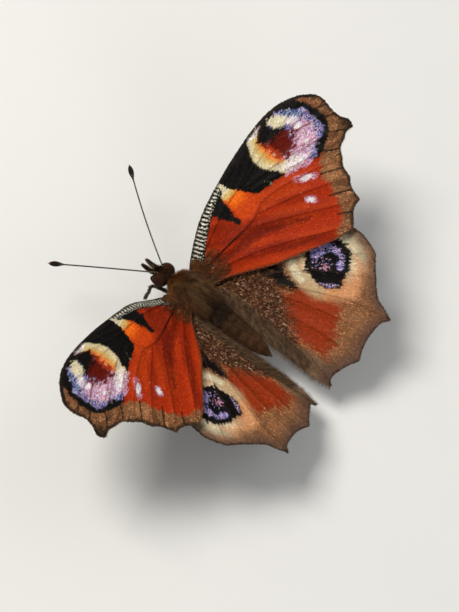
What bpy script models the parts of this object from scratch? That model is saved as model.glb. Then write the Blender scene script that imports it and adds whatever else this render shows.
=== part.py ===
"""Peacock butterfly: a still, life-size model that stands on its four walking legs.

Sizes are in millimetres and are turned to metres where a mesh is made. The body frame has
+X to the insect's left, +Y to its tail and +Z up. It is pitched head up over the floor, z = 0.
A wing is drawn flat, u outwards and v forwards from its root, and then laid on its plane.
"""
import math

import bmesh
import bpy
from mathutils import Matrix, Vector
from mathutils.geometry import delaunay_2d_cdt, intersect_point_line

# Driving sizes
MM = 0.001
STAND_HEIGHT = 9.6
HEAD_UP_DEG = 9.0
GAP = 0.3

THORAX_CENTRE = Vector((0.0, 0.8, -1.7))
THORAX_HALF = Vector((2.9, 4.3, 3.0))
THORAX_POWER = 2.4
HEAD_CENTRE = Vector((0.0, -4.35, -2.85))
HEAD_HALF = Vector((1.15, 1.55, 1.5))
EYE_CENTRE = Vector((0.9, -4.35, -2.8))
EYE_HALF = Vector((1.05, 1.15, 1.2))
ABDOMEN_FRONT = 3.0
ABDOMEN_REAR = 15.4
ABDOMEN_RADIUS = 1.8
ABDOMEN_AXIS_FRONT = -1.75
ABDOMEN_AXIS_REAR = -1.6
ABDOMEN_SEGMENTS = 8

# Wings: root point, rise for each mm outwards and for each mm forwards
FORE_ROOT = Vector((4.1, 0.0, 0.855))
FORE_RISE_OUT = 0.389
FORE_RISE_FORWARD = -0.067
FORE_ARCH = 0.35
FORE_ROOT_DROP = 0.9
FORE_ROOT_TWIST = 0.35
FORE_COSTAL_ROLL = 0.55
HIND_ROOT = Vector((3.0, 3.0, -0.22))
HIND_RISE_OUT = 0.43
HIND_RISE_FORWARD = -0.03
HIND_GUTTER = 0.75
WING_THICKNESS = 0.5
WING_OVERLAP_DROP = 1.16
VEIN_HALF_WIDTH = 0.3
VEIN_STEP = 1.5
EDGE_STEP = 1.2
LATTICE_STEP = 2.1

# Outline of a wing as runs between corners, each a smooth curve through its points
FORE_RUNS = [
    [(-2.4, 2.0), (0.0, 3.4), (4.0, 5.15), (8.5, 6.2), (14.0, 6.95), (19.5, 7.3), (23.5, 6.95),
     (26.6, 5.6), (28.6, 3.7), (29.0, 2.2), (28.6, 0.2), (28.6, -1.3), (29.1, -2.6), (28.7, -3.65)],
    [(28.7, -3.65), (27.5, -3.4), (26.4, -3.8)],
    [(26.4, -3.8), (25.0, -4.2), (24.0, -5.3)],
    [(24.0, -5.3), (23.0, -6.3), (22.5, -7.9)],
    [(22.5, -7.9), (21.4, -9.0), (20.8, -11.0)],
    [(20.8, -11.0), (19.0, -11.3), (17.1, -12.8)],
    [(17.1, -12.8), (14.5, -12.1), (10.0, -9.6), (6.0, -7.3), (2.5, -4.7), (0.0, -2.9), (-2.4, -1.6)],
]
HIND_RUNS = [
    [(-1.4, 1.2), (1.2, 2.4), (4.0, 2.6), (8.0, 1.5), (12.0, -0.7), (15.5, -4.1), (18.0, -8.0),
     (18.7, -10.8), (18.3, -12.9), (17.6, -14.6)],
    [(17.6, -14.6), (16.0, -15.8), (14.9, -16.8)],
    [(14.9, -16.8), (13.6, -17.9), (12.5, -19.2), (12.0, -20.7), (11.3, -22.3)],
    [(11.3, -22.3), (10.2, -21.5), (8.8, -21.3), (7.6, -21.3)],
    [(7.6, -21.3), (5.8, -21.6), (4.0, -22.4)],
    [(4.0, -22.4), (2.2, -21.4), (0.4, -20.8), (-0.7, -20.8), (-1.4, -21.5)],
    [(-1.4, -21.5), (-1.9, -19.0), (-2.0, -14.0), (-1.9, -9.0), (-1.6, -4.0), (-1.4, 1.2)],
]

# Veins: rise on each face, then the points that the crest runs through
FORE_VEINS = {
    "cell_rear": (0.17, [(-1.0, 0.3), (3.0, -0.2), (7.2, -0.8), (9.8, -0.7), (11.5, -0.1)]),
    "radius": (0.18, [(-1.0, 1.3), (4.0, 2.6), (8.5, 3.4), (11.6, 3.6)]),
    "cell_end": (0.10, [(11.6, 3.6), (12.1, 1.9), (11.5, -0.1)]),
    "subcosta": (0.16, [(-1.0, 2.1), (4.0, 4.1), (9.0, 5.4), (13.5, 6.2)]),
    "r1": (0.12, [(8.5, 3.4), (13.5, 5.3), (18.0, 6.5)]),
    "r2": (0.12, [(11.6, 3.6), (17.0, 5.3), (22.3, 6.6)]),
    "r3": (0.13, [(11.6, 3.6), (19.0, 4.1), (24.0, 4.7), (27.2, 4.6)]),
    "r4": (0.11, [(19.0, 4.1), (24.0, 3.6), (28.5, 2.5)]),
    "r5": (0.11, [(19.0, 4.1), (23.8, 2.0), (28.1, 0.3)]),
    "m1": (0.12, [(11.9, 2.9), (18.0, 1.3), (24.0, -1.1), (28.1, -3.1)]),
    "m2": (0.12, [(12.1, 1.9), (17.0, 0.1), (22.0, -2.0), (25.9, -3.6)]),
    "m3": (0.13, [(11.5, -0.1), (15.0, -1.0), (19.5, -3.0), (23.5, -5.0)]),
    "cua1": (0.14, [(9.8, -0.7), (15.9, -3.8), (19.2, -5.8), (22.0, -7.6)]),
    "cua2": (0.14, [(7.2, -0.8), (10.3, -3.0), (13.8, -5.7), (17.3, -8.4), (20.3, -10.6)]),
    "2a": (0.14, [(-1.0, -0.7), (4.8, -3.6), (9.9, -7.0), (13.2, -9.6), (16.6, -12.1)]),
}
HIND_VEINS = {
    "stem": (0.15, [(-0.6, 0.2), (2.4, -1.2), (4.6, -3.2)]),
    "sc_r1": (0.14, [(-0.6, 0.9), (4.0, 1.4), (10.0, -0.6), (14.8, -4.3), (17.4, -8.2)]),
    "rs": (0.13, [(2.4, -1.2), (8.0, -2.3), (13.5, -5.5), (18.0, -10.6)]),
    "m1": (0.13, [(4.6, -3.2), (10.0, -6.2), (14.2, -10.2), (17.1, -14.1)]),
    "m2": (0.12, [(4.6, -3.2), (9.4, -8.2), (12.7, -13.2), (14.5, -16.3)]),
    "m3": (0.14, [(4.2, -4.4), (7.6, -10.5), (10.2, -16.5), (11.2, -21.5)]),
    "cua1": (0.14, [(3.4, -4.4), (5.6, -11.0), (7.1, -17.0), (7.6, -20.9)]),
    "cua2": (0.13, [(1.8, -1.0), (2.9, -8.0), (3.7, -15.0), (4.0, -21.8)]),
    "2a": (0.12, [(0.2, -0.4), (0.8, -7.0), (0.6, -14.0), (-0.6, -20.2)]),
}

# Feelers, palps and tongue, in the body frame of the left side
ANTENNA_ROOT_WAY = Vector((0.75, -1.0, 1.1))
ANTENNA_TIP = Vector((10.2, -18.35, -2.26))
ANTENNA_BOW = Vector((-0.12, -0.1, -0.3))
ANTENNA_RADIUS = 0.25
CLUB_RADIUS = 0.45
CLUB_LENGTH = 2.6
PALP_ROOT_WAY = Vector((0.36, -1.0, -0.4))
PALP_TIP = Vector((0.5, -7.75, -3.5))
PALP_RADIUS = 0.4
TONGUE_RADIUS = 0.25
TONGUE_COIL = (1.05, 0.42)
TONGUE_TURNS = 1.05

# Walking legs of the left side: the way out of the thorax, then knee, ankle, heel and toe over the floor
WALKING_LEGS = {
    "midleg": (Vector((0.45, -0.05, -1.0)),
               [(5.6, -1.0, 5.7), (7.9, -1.9, 1.0), (8.7, -2.2, 0.22), (11.2, -3.1, 0.22)]),
    "hindleg": (Vector((0.42, 0.62, -1.0)),
                [(4.8, 6.3, 5.2), (6.5, 9.8, 1.0), (6.9, 10.6, 0.22), (8.0, 13.2, 0.22)]),
}
LEG_RADII = (0.4, 0.36, 0.27, 0.26, 0.25)
FORELEG_WAY = Vector((0.36, -0.62, -0.7))
FORELEG_POINTS = [(1.3, -4.4, -5.1), (2.6, -4.5, -5.3), (3.0, -4.4, -6.5)]
FORELEG_RADII = (0.36, 0.32, 0.28, 0.25)

# Colour, roughness and metallic value of each kind of node
FINISHES = {
    "thorax": ((0.085, 0.045, 0.022), 0.9),
    "head": ((0.05, 0.03, 0.018), 0.85),
    "eye": ((0.02, 0.012, 0.01), 0.3),
    "abdomen": ((0.06, 0.035, 0.02), 0.9),
    "antenna": ((0.03, 0.02, 0.015), 0.6),
    "palp": ((0.03, 0.018, 0.012), 0.85),
    "proboscis": ((0.03, 0.018, 0.012), 0.5),
    "forewing": ((0.42, 0.06, 0.02), 0.75),
    "hindwing": ((0.3, 0.06, 0.03), 0.75),
    "leg": ((0.035, 0.022, 0.015), 0.6),
}

body_to_floor = (Matrix.Translation((0.0, 0.0, STAND_HEIGHT))
                 @ Matrix.Rotation(math.radians(-HEAD_UP_DEG), 4, "X"))


def clear_scene():
    for old in list(bpy.data.objects):
        bpy.data.objects.remove(old, do_unlink=True)


def finish(obj, kind):
    """Give the object a Principled material in the colour of its kind."""
    colour, rough = FINISHES[kind]
    material = bpy.data.materials.get(kind) or bpy.data.materials.new(kind)
    material.use_nodes = True
    shader = material.node_tree.nodes["Principled BSDF"]
    shader.inputs["Base Color"].default_value = (*colour, 1.0)
    shader.inputs["Roughness"].default_value = rough
    shader.inputs["Metallic"].default_value = 0.0
    material.diffuse_color = (*colour, 1.0)
    obj.data.materials.append(material)
    return obj


def link_mesh(name, bm, side=1, to_floor=True):
    """Make a mesh object from body-frame millimetres, mirrored for the right side."""
    place = Matrix.Scale(MM, 4)
    if to_floor:
        place = place @ body_to_floor
    place = place @ Matrix.Diagonal((side, 1.0, 1.0, 1.0))
    bmesh.ops.transform(bm, matrix=place, verts=bm.verts)
    bmesh.ops.recalc_face_normals(bm, faces=bm.faces)
    mesh = bpy.data.meshes.new(name)
    bm.to_mesh(mesh)
    bm.free()
    obj = bpy.data.objects.new(name, mesh)
    bpy.context.scene.collection.objects.link(obj)
    return obj


def unit_ball(bm, around, along):
    """A sphere of radius 1 whose poles lie on the Y axis."""
    bmesh.ops.create_uvsphere(bm, u_segments=around, v_segments=along, radius=1.0)
    bmesh.ops.rotate(bm, verts=bm.verts, matrix=Matrix.Rotation(math.radians(90.0), 3, "X"))


def reach(way, half, power):
    """How far a superellipsoid of these half sizes reaches along a direction."""
    total = sum(abs(way[i] / half[i]) ** power for i in range(3))
    return total ** (-1.0 / power)


def rounded(name, centre, half, power=2.0, side=1, around=24, along=16):
    bm = bmesh.new()
    unit_ball(bm, around, along)
    for vert in bm.verts:
        way = Vector([vert.co[i] * half[i] for i in range(3)])
        vert.co = centre + way * reach(way, half, power)
    return link_mesh(name, bm, side)


def abdomen_radius(along):
    """Radius from 0 at the waist to 1 at the tip, with a shallow step at each segment."""
    taper = 1.0 - 0.3 * max(0.0, along - 0.35) ** 1.2
    waist = math.sqrt(max(0.0, 1.0 - max(0.0, 1.0 - along / 0.2) ** 2))
    tip = math.sqrt(max(0.0, 1.0 - max(0.0, (along - 0.5) / 0.5) ** 2.2))
    step = (along * ABDOMEN_SEGMENTS) % 1.0
    return ABDOMEN_RADIUS * taper * waist * tip * (0.97 + 0.05 * step)


def abdomen_solid(name, grow=0.0):
    bm = bmesh.new()
    unit_ball(bm, 18, 26)
    length = ABDOMEN_REAR - ABDOMEN_FRONT
    for vert in bm.verts:
        along = 0.5 + 0.5 * vert.co.y
        ring = Vector((vert.co.x, 0.0, vert.co.z))
        out = ring.normalized() if ring.length > 1e-6 else ring
        radius = abdomen_radius(along) + grow if ring.length > 1e-6 else 0.0
        axis = ABDOMEN_AXIS_FRONT + (ABDOMEN_AXIS_REAR - ABDOMEN_AXIS_FRONT) * along
        y = ABDOMEN_FRONT + length * along + grow * vert.co.y
        vert.co = Vector((out.x * radius, y, axis + out.z * radius * 0.95))
    return link_mesh(name, bm)


def cutter(obj, collection):
    obj.hide_render = True
    obj.display_type = "WIRE"
    bpy.context.scene.collection.objects.unlink(obj)
    collection.objects.link(obj)
    return obj


def cut(obj, tool):
    modifier = obj.modifiers.new("cut_" + tool.name, "BOOLEAN")
    modifier.operation = "DIFFERENCE"
    modifier.solver = "EXACT"
    modifier.object = tool


def triangulated(obj):
    obj.modifiers.new("triangles", "TRIANGULATE")


def smooth_run(points, step, closed=False):
    """Samples of a Catmull-Rom curve through the points, about a step apart."""
    samples = []
    count = len(points)
    for i in range(count - 1):
        before = points[max(i - 1, 0)]
        start = points[i]
        end = points[i + 1]
        after = points[min(i + 2, count - 1)]
        pieces = max(1, round((end - start).length / step))
        for piece in range(pieces):
            t = piece / pieces
            samples.append(0.5 * (2.0 * start + (end - before) * t
                                  + (2.0 * before - 5.0 * start + 4.0 * end - after) * t * t
                                  + (3.0 * start - before - 3.0 * end + after) * t ** 3))
    if not closed:
        samples.append(points[-1].copy())
    return samples


def outline_points(runs):
    outline = []
    for run in runs:
        outline.extend(smooth_run([Vector(p) for p in run], EDGE_STEP, closed=True))
    return outline


def vein_lines(table):
    """Crest lines whose ends are moved onto a sample of a vein that is already laid."""
    lines = []
    laid = []
    for rise, points in table.values():
        samples = smooth_run([Vector(p) for p in points], VEIN_STEP)
        for end in (0, -1):
            near = min(laid, key=lambda p: (p - samples[end]).length, default=None)
            if near is not None and (near - samples[end]).length < VEIN_STEP * 0.75:
                samples[end] = near.copy()
        laid.extend(samples)
        lines.append((rise, samples))
    return lines


def distance_to_line(point, line):
    best = 1e9
    for a, b in zip(line, line[1:]):
        foot, t = intersect_point_line(point, a, b)
        foot = Vector(foot[:2])
        near = a if t < 0.0 else b if t > 1.0 else foot
        best = min(best, (point - near).length)
    return best


def vein_rise(point, lines):
    """Rise of the membrane at a point: a roof over each crest line, lower towards its end."""
    best = 0.0
    for rise, line in lines:
        away = distance_to_line(point, line)
        if away < VEIN_HALF_WIDTH:
            fade = min(1.0, 0.35 + (point - line[-1]).length / 4.0)
            best = max(best, rise * fade * (1.0 - away / VEIN_HALF_WIDTH))
    return best


def inside(point, outline):
    """Even and odd crossings of a line to the right of the point."""
    crossings = 0
    for a, b in zip(outline, outline[1:] + outline[:1]):
        if (a.y > point.y) != (b.y > point.y):
            x = a.x + (point.y - a.y) * (b.x - a.x) / (b.y - a.y)
            crossings += x > point.x
    return crossings % 2 == 1


def wing_points(runs, table):
    """Flat points of a wing, its constraint edges and its vein lines."""
    outline = outline_points(runs)
    ring = outline + outline[:1]
    lines = vein_lines(table)
    points = list(outline)
    edges = []
    placed = {}
    for _, line in lines:
        index = []
        for sample in line:
            key = (round(sample.x, 4), round(sample.y, 4))
            if key not in placed:
                placed[key] = len(points)
                points.append(sample)
            index.append(placed[key])
        edges.extend(zip(index, index[1:]))
    for _, line in lines:
        for before, sample, after in zip(line, line[1:], line[2:]):
            way = (after - before).normalized()
            across = Vector((-way.y, way.x)) * VEIN_HALF_WIDTH * 1.02
            for foot in (sample + across, sample - across):
                clear = min((foot - p).length for p in points) > VEIN_HALF_WIDTH * 0.95
                off_veins = all(distance_to_line(foot, other) > VEIN_HALF_WIDTH * 0.98
                                for _, other in lines)
                if clear and off_veins and inside(foot, outline) and distance_to_line(foot, ring) > 0.3:
                    points.append(foot)
    row = 0
    v = min(p.y for p in outline)
    while v < max(p.y for p in outline):
        u = min(p.x for p in outline) + (row % 2) * LATTICE_STEP * 0.5
        while u < max(p.x for p in outline):
            spot = Vector((u, v))
            open_membrane = all(distance_to_line(spot, line) > 0.85 for _, line in lines)
            if open_membrane and inside(spot, outline) and distance_to_line(spot, ring) > 0.9:
                points.append(spot)
            u += LATTICE_STEP
        v += LATTICE_STEP * 0.87
        row += 1
    return points, edges, len(outline), lines


def wing_axes(rise_out, rise_forward):
    """Unit vectors outwards, forwards and up from the plane of a left wing."""
    out = Vector((1.0, 0.0, rise_out)).normalized()
    up = Vector((-rise_out, rise_forward, 1.0)).normalized()
    return out, out.cross(up), up


def smooth_step(low, high, value):
    t = min(1.0, max(0.0, (value - low) / (high - low)))
    return t * t * (3.0 - 2.0 * t)


def fore_lift(u, v):
    """Camber of the forewing over its plane: arched, with the hooked tip bent down."""
    arch = FORE_ARCH * (1.0 - ((u - 13.0) / 13.0) ** 2)
    tip = smooth_step(26.0, 29.2, u) * smooth_step(0.5, -3.6, v)
    edge = 0.25 * smooth_step(5.2, 7.4, v)
    roll = FORE_COSTAL_ROLL * smooth_step(2.5, 6.0, v) * smooth_step(17.0, 9.0, u)
    base = smooth_step(6.0, -2.5, u) * (FORE_ROOT_DROP + FORE_ROOT_TWIST * max(0.0, v))
    return arch - 0.7 * tip - edge - roll - base


def fore_point(u, v, lift=0.0):
    out, forward, up = wing_axes(FORE_RISE_OUT, FORE_RISE_FORWARD)
    return FORE_ROOT + out * u + forward * v + up * (fore_lift(u, v) + lift)


def fore_height(spot):
    """Height of the forewing's middle surface over a point of the body frame."""
    out, forward, up = wing_axes(FORE_RISE_OUT, FORE_RISE_FORWARD)
    flat = Vector((spot.x - FORE_ROOT.x, spot.y - FORE_ROOT.y, 0.0))
    flat.z = (flat.x * FORE_RISE_OUT - flat.y * FORE_RISE_FORWARD)
    u = flat.dot(out)
    v = flat.dot(forward)
    return FORE_ROOT.z + flat.z + fore_lift(u, max(v, -13.5)) / up.z


def hind_point(u, v, lift=0.0):
    """The hindwing dips beside the abdomen and passes under the forewing."""
    out, forward, up = wing_axes(HIND_RISE_OUT, HIND_RISE_FORWARD)
    gutter = HIND_GUTTER * smooth_step(2.2, -2.0, u)
    wave = 0.16 * smooth_step(-15.0, -22.0, v) * math.sin(u * 1.15)
    spot = HIND_ROOT + out * u + forward * v + up * (wave - gutter)
    under = fore_height(spot) - WING_OVERLAP_DROP
    excess = spot.z - under
    spread = 0.35
    softened = 0.5 * (excess + math.sqrt(excess * excess + spread * spread)) if v > -16.0 else 0.0
    spot.z -= softened * smooth_step(-16.0, -12.0, v)
    return spot + up * lift


def wing(name, side, runs, table, place, kind, tools):
    """Lay the flat triangles on the wing's surface and give them thickness on both faces alike."""
    points, edges, rim, lines = wing_points(runs, table)
    flat, _, faces, _, _, _ = delaunay_2d_cdt(points, edges, [list(range(rim))], 1, 1e-5)
    thickest = WING_THICKNESS + 2.0 * max(rise for rise, _ in lines)
    bm = bmesh.new()
    verts = [bm.verts.new(place(p.x, p.y)) for p in flat]
    for face in faces:
        bm.faces.new([verts[i] for i in face])
    obj = link_mesh(name, bm, side)
    group = obj.vertex_groups.new(name="thickness")
    for i, p in enumerate(flat):
        thick = WING_THICKNESS + 2.0 * vein_rise(p, lines)
        group.add([i], thick / thickest, "REPLACE")
    solid = obj.modifiers.new("thickness", "SOLIDIFY")
    solid.thickness = thickest * MM
    solid.offset = 0.0
    solid.vertex_group = "thickness"
    for tool in tools:
        cut(obj, tool)
    triangulated(obj)
    return finish(obj, kind)


def tube(name, points, radii, side=1, to_floor=True, sides=1):
    """A bevelled curve through the points, with filled caps, as a mesh."""
    curve = bpy.data.curves.new(name, "CURVE")
    curve.dimensions = "3D"
    curve.bevel_depth = 1.0
    curve.bevel_resolution = sides
    curve.use_fill_caps = True
    spline = curve.splines.new("POLY")
    spline.points.add(len(points) - 1)
    for spot, point, radius in zip(spline.points, points, radii):
        spot.co = (*point, 1.0)
        spot.radius = radius
    draft = bpy.data.objects.new(name + "_draft", curve)
    bpy.context.scene.collection.objects.link(draft)
    depsgraph = bpy.context.evaluated_depsgraph_get()
    mesh = bpy.data.meshes.new_from_object(draft.evaluated_get(depsgraph))
    bm = bmesh.new()
    bm.from_mesh(mesh)
    bpy.data.objects.remove(draft, do_unlink=True)
    bpy.data.meshes.remove(mesh)
    bmesh.ops.remove_doubles(bm, verts=bm.verts, dist=1e-4)
    if not to_floor:
        stand_on_floor(bm)
    obj = link_mesh(name, bm, side, to_floor)
    triangulated(obj)
    return obj


def stand_on_floor(bm):
    """Cut a small flat under the foot, at the floor."""
    geometry = bm.verts[:] + bm.edges[:] + bm.faces[:]
    sliced = bmesh.ops.bisect_plane(bm, geom=geometry, dist=1e-5, plane_co=(0.0, 0.0, 0.0),
                                    plane_no=(0.0, 0.0, 1.0), clear_inner=True)
    rim = [item for item in sliced["geom_cut"] if isinstance(item, bmesh.types.BMEdge)]
    bmesh.ops.holes_fill(bm, edges=rim)


def bent(start, knots, step):
    """Points of a smooth path through the knots."""
    return smooth_run([Vector(start)] + [Vector(k) for k in knots], step)


def antenna(side, suffix):
    start = HEAD_CENTRE + ANTENNA_ROOT_WAY * reach(ANTENNA_ROOT_WAY, HEAD_HALF, 2.0)
    start += ANTENNA_ROOT_WAY.normalized() * GAP
    length = (ANTENNA_TIP - start).length
    points = []
    radii = []
    for share in (0.0, 0.04, 0.16, 0.3, 0.45, 0.6, 0.74, 0.84, 0.88, 0.91, 0.94, 0.965, 0.985, 1.0):
        spot = start.lerp(ANTENNA_TIP, share)
        spot += ANTENNA_BOW * math.sin(math.pi * share)
        club = smooth_step(1.0 - CLUB_LENGTH / length, 1.0 - 0.4 * CLUB_LENGTH / length, share)
        closing = math.sqrt(max(0.08, 1.0 - max(0.0, (share - 0.94) / 0.06) ** 2))
        points.append(spot)
        radii.append((ANTENNA_RADIUS + (CLUB_RADIUS - ANTENNA_RADIUS) * club) * closing)
    return finish(tube("antenna_" + suffix, points, radii, side), "antenna")


def palp(side, suffix):
    start = HEAD_CENTRE + PALP_ROOT_WAY * reach(PALP_ROOT_WAY, HEAD_HALF, 2.0)
    start += PALP_ROOT_WAY.normalized() * GAP
    middle = start.lerp(PALP_TIP, 0.5) - Vector((0.0, 0.0, 0.15))
    points = [start, middle, PALP_TIP - Vector((0.0, -0.3, 0.05)), PALP_TIP]
    radii = [PALP_RADIUS * 0.85, PALP_RADIUS, PALP_RADIUS * 0.75, PALP_RADIUS * 0.4]
    return finish(tube("palp_" + suffix, points, radii, side), "palp")


def proboscis():
    """The coiled tongue hangs under the head, between the palps."""
    outer, inner = TONGUE_COIL
    top = HEAD_CENTRE.z - HEAD_HALF.z - GAP
    centre = Vector((0.0, HEAD_CENTRE.y - 0.35, top - outer - TONGUE_RADIUS))
    points = []
    steps = 20
    for i in range(steps + 1):
        share = i / steps
        turn = math.pi * 0.5 - 2.0 * math.pi * TONGUE_TURNS * share
        radius = outer + (inner - outer) * share
        points.append(centre + Vector((0.0, radius * math.cos(turn), radius * math.sin(turn))))
    radii = [TONGUE_RADIUS] * len(points)
    return finish(tube("proboscis", points, radii), "proboscis")


def thorax_point(way):
    """A point one gap out from the thorax, along a direction from its centre."""
    surface = THORAX_CENTRE + way * reach(way, THORAX_HALF, THORAX_POWER)
    return surface + way.normalized() * GAP


def walking_leg(kind, side, suffix):
    way, joints = WALKING_LEGS[kind]
    start = body_to_floor @ thorax_point(way)
    knots = [start] + [Vector(j) for j in joints]
    points = []
    radii = []
    for i in range(len(knots) - 1):
        pieces = 3 if i < 2 else 1 if i == 2 else 4
        for piece in range(pieces):
            share = piece / pieces
            swell = 1.0 + 0.12 * math.sin(math.pi * share)
            points.append(knots[i].lerp(knots[i + 1], share))
            radii.append((LEG_RADII[i] + (LEG_RADII[i + 1] - LEG_RADII[i]) * share) * swell)
    points.append(knots[-1])
    radii.append(LEG_RADII[-1])
    leg = tube(kind + "_" + suffix, points, radii, side, to_floor=False)
    return finish(leg, "leg")


def foreleg(side, suffix):
    """The forelegs are short brushes, held up under the head."""
    points = bent(thorax_point(FORELEG_WAY), FORELEG_POINTS, 0.9)
    last = len(points) - 1
    radii = []
    for i in range(len(points)):
        spot = i / last * (len(FORELEG_RADII) - 1)
        low = min(int(spot), len(FORELEG_RADII) - 2)
        radii.append(FORELEG_RADII[low] + (FORELEG_RADII[low + 1] - FORELEG_RADII[low]) * (spot - low))
    return finish(tube("foreleg_" + suffix, points, radii, side), "leg")


def centre_on_origin():
    """Shift all so that the floor under the middle of the whole box is the origin."""
    bpy.context.view_layer.update()
    depsgraph = bpy.context.evaluated_depsgraph_get()
    nodes = [obj for obj in bpy.data.objects if obj.type == "MESH" and not obj.hide_render]
    corners = []
    for obj in nodes:
        mesh = obj.evaluated_get(depsgraph).data
        corners.extend(vert.co.copy() for vert in mesh.vertices)
    low = [min(corner[i] for corner in corners) for i in range(3)]
    high = [max(corner[i] for corner in corners) for i in range(3)]
    shift = Vector((-(low[0] + high[0]) * 0.5, -(low[1] + high[1]) * 0.5, -low[2]))
    for obj in bpy.data.objects:
        if obj.type == "MESH":
            obj.data.transform(Matrix.Translation(shift))


def main():
    clear_scene()
    tools = bpy.data.collections.new("cutters")
    bpy.context.scene.collection.children.link(tools)
    grown = Vector((GAP, GAP, GAP))
    thorax = rounded("thorax", THORAX_CENTRE, THORAX_HALF, THORAX_POWER, along=18)
    finish(thorax, "thorax")
    thorax_tool = cutter(rounded("cut_thorax", THORAX_CENTRE, THORAX_HALF + grown, THORAX_POWER,
                                 along=18), tools)
    head = rounded("head", HEAD_CENTRE, HEAD_HALF, around=20, along=14)
    finish(head, "head")
    cut(head, thorax_tool)
    triangulated(head)
    head_tool = cutter(rounded("cut_head", HEAD_CENTRE, HEAD_HALF + grown, around=20, along=14), tools)
    abdomen = abdomen_solid("abdomen")
    finish(abdomen, "abdomen")
    cut(abdomen, thorax_tool)
    triangulated(abdomen)
    abdomen_tool = cutter(abdomen_solid("cut_abdomen", GAP), tools)
    proboscis()
    for side, suffix in ((1, "left"), (-1, "right")):
        eye = rounded("eye_" + suffix, EYE_CENTRE, EYE_HALF, side=side, around=18, along=12)
        finish(eye, "eye")
        cut(eye, head_tool)
        cut(eye, thorax_tool)
        triangulated(eye)
        antenna(side, suffix)
        palp(side, suffix)
        wing("forewing_" + suffix, side, FORE_RUNS, FORE_VEINS, fore_point, "forewing", [thorax_tool])
        wing("hindwing_" + suffix, side, HIND_RUNS, HIND_VEINS, hind_point, "hindwing",
             [thorax_tool, abdomen_tool])
        foreleg(side, suffix)
        walking_leg("midleg", side, suffix)
        walking_leg("hindleg", side, suffix)
    centre_on_origin()


main()
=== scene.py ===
"""Peacock butterfly: scaled wings, hairy body, eyes, feelers, legs and a plain stage.

The file is laid out as a Blender add-on and is run as a script. Lengths are in millimetres in the
code and in metres in the settings. The body frame has +X to the insect's left, +Y to its tail and
+Z up, and is pitched head up over the floor. A wing is drawn flat, u outwards and v forwards.
"""
import math

import bmesh
import bpy
import numpy as np
from bpy.props import FloatProperty, FloatVectorProperty, IntProperty, PointerProperty
from mathutils import Matrix, Vector
from mathutils.geometry import delaunay_2d_cdt
from mathutils.kdtree import KDTree


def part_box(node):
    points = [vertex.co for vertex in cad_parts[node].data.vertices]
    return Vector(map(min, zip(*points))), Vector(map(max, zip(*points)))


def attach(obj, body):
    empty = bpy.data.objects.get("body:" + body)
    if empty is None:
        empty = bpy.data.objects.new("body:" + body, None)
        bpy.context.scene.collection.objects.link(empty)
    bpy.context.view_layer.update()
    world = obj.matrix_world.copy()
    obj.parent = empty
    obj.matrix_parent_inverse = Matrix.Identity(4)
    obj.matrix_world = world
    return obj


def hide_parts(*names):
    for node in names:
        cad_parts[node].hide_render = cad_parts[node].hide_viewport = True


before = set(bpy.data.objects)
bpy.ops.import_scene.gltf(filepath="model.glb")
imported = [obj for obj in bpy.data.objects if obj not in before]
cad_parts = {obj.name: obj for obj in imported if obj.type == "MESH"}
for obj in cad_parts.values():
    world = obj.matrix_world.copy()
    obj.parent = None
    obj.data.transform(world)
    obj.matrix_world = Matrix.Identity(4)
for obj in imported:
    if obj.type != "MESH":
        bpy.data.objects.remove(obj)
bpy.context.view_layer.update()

bl_info = {
    "name": "Peacock butterfly model",
    "version": (1, 0, 0),
    "blender": (4, 5, 0),
    "location": "3D View > Sidebar > Butterfly",
    "description": "Builds the wings, coat, eyes, feelers and legs of a life-size peacock butterfly",
    "category": "Add Mesh",
}

MM = 0.001
SIDES = (("left", 1), ("right", -1))

# Body sizes, as in the solids
STAND_HEIGHT = 9.6
HEAD_UP = math.radians(9.0)
THORAX_CENTRE = np.array((0.0, 0.8, -1.7))
THORAX_HALF = np.array((2.9, 4.3, 3.0))
THORAX_POWER = 2.4
HEAD_CENTRE = np.array((0.0, -4.35, -2.85))
HEAD_HALF = np.array((1.15, 1.55, 1.5))
EYE_CENTRE = np.array((0.9, -4.35, -2.8))
EYE_HALF = np.array((1.05, 1.15, 1.2))
ABDOMEN_FRONT = 3.0
ABDOMEN_REAR = 15.4
ABDOMEN_RADIUS = 1.8
ABDOMEN_AXIS = (-1.75, -1.6)
ABDOMEN_SEGMENTS = 8

# Wing planes, as in the solids
FORE_ROOT = np.array((4.1, 0.0, 0.855))
FORE_RISE = (0.389, -0.067)
FORE_ARCH = 0.35
FORE_ROOT_DROP = 0.9
FORE_ROOT_TWIST = 0.35
FORE_COSTAL_ROLL = 0.55
HIND_ROOT = np.array((3.0, 3.0, -0.22))
HIND_RISE = (0.43, -0.03)
HIND_GUTTER = 0.75
WING_OVERLAP_DROP = 1.16

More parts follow.
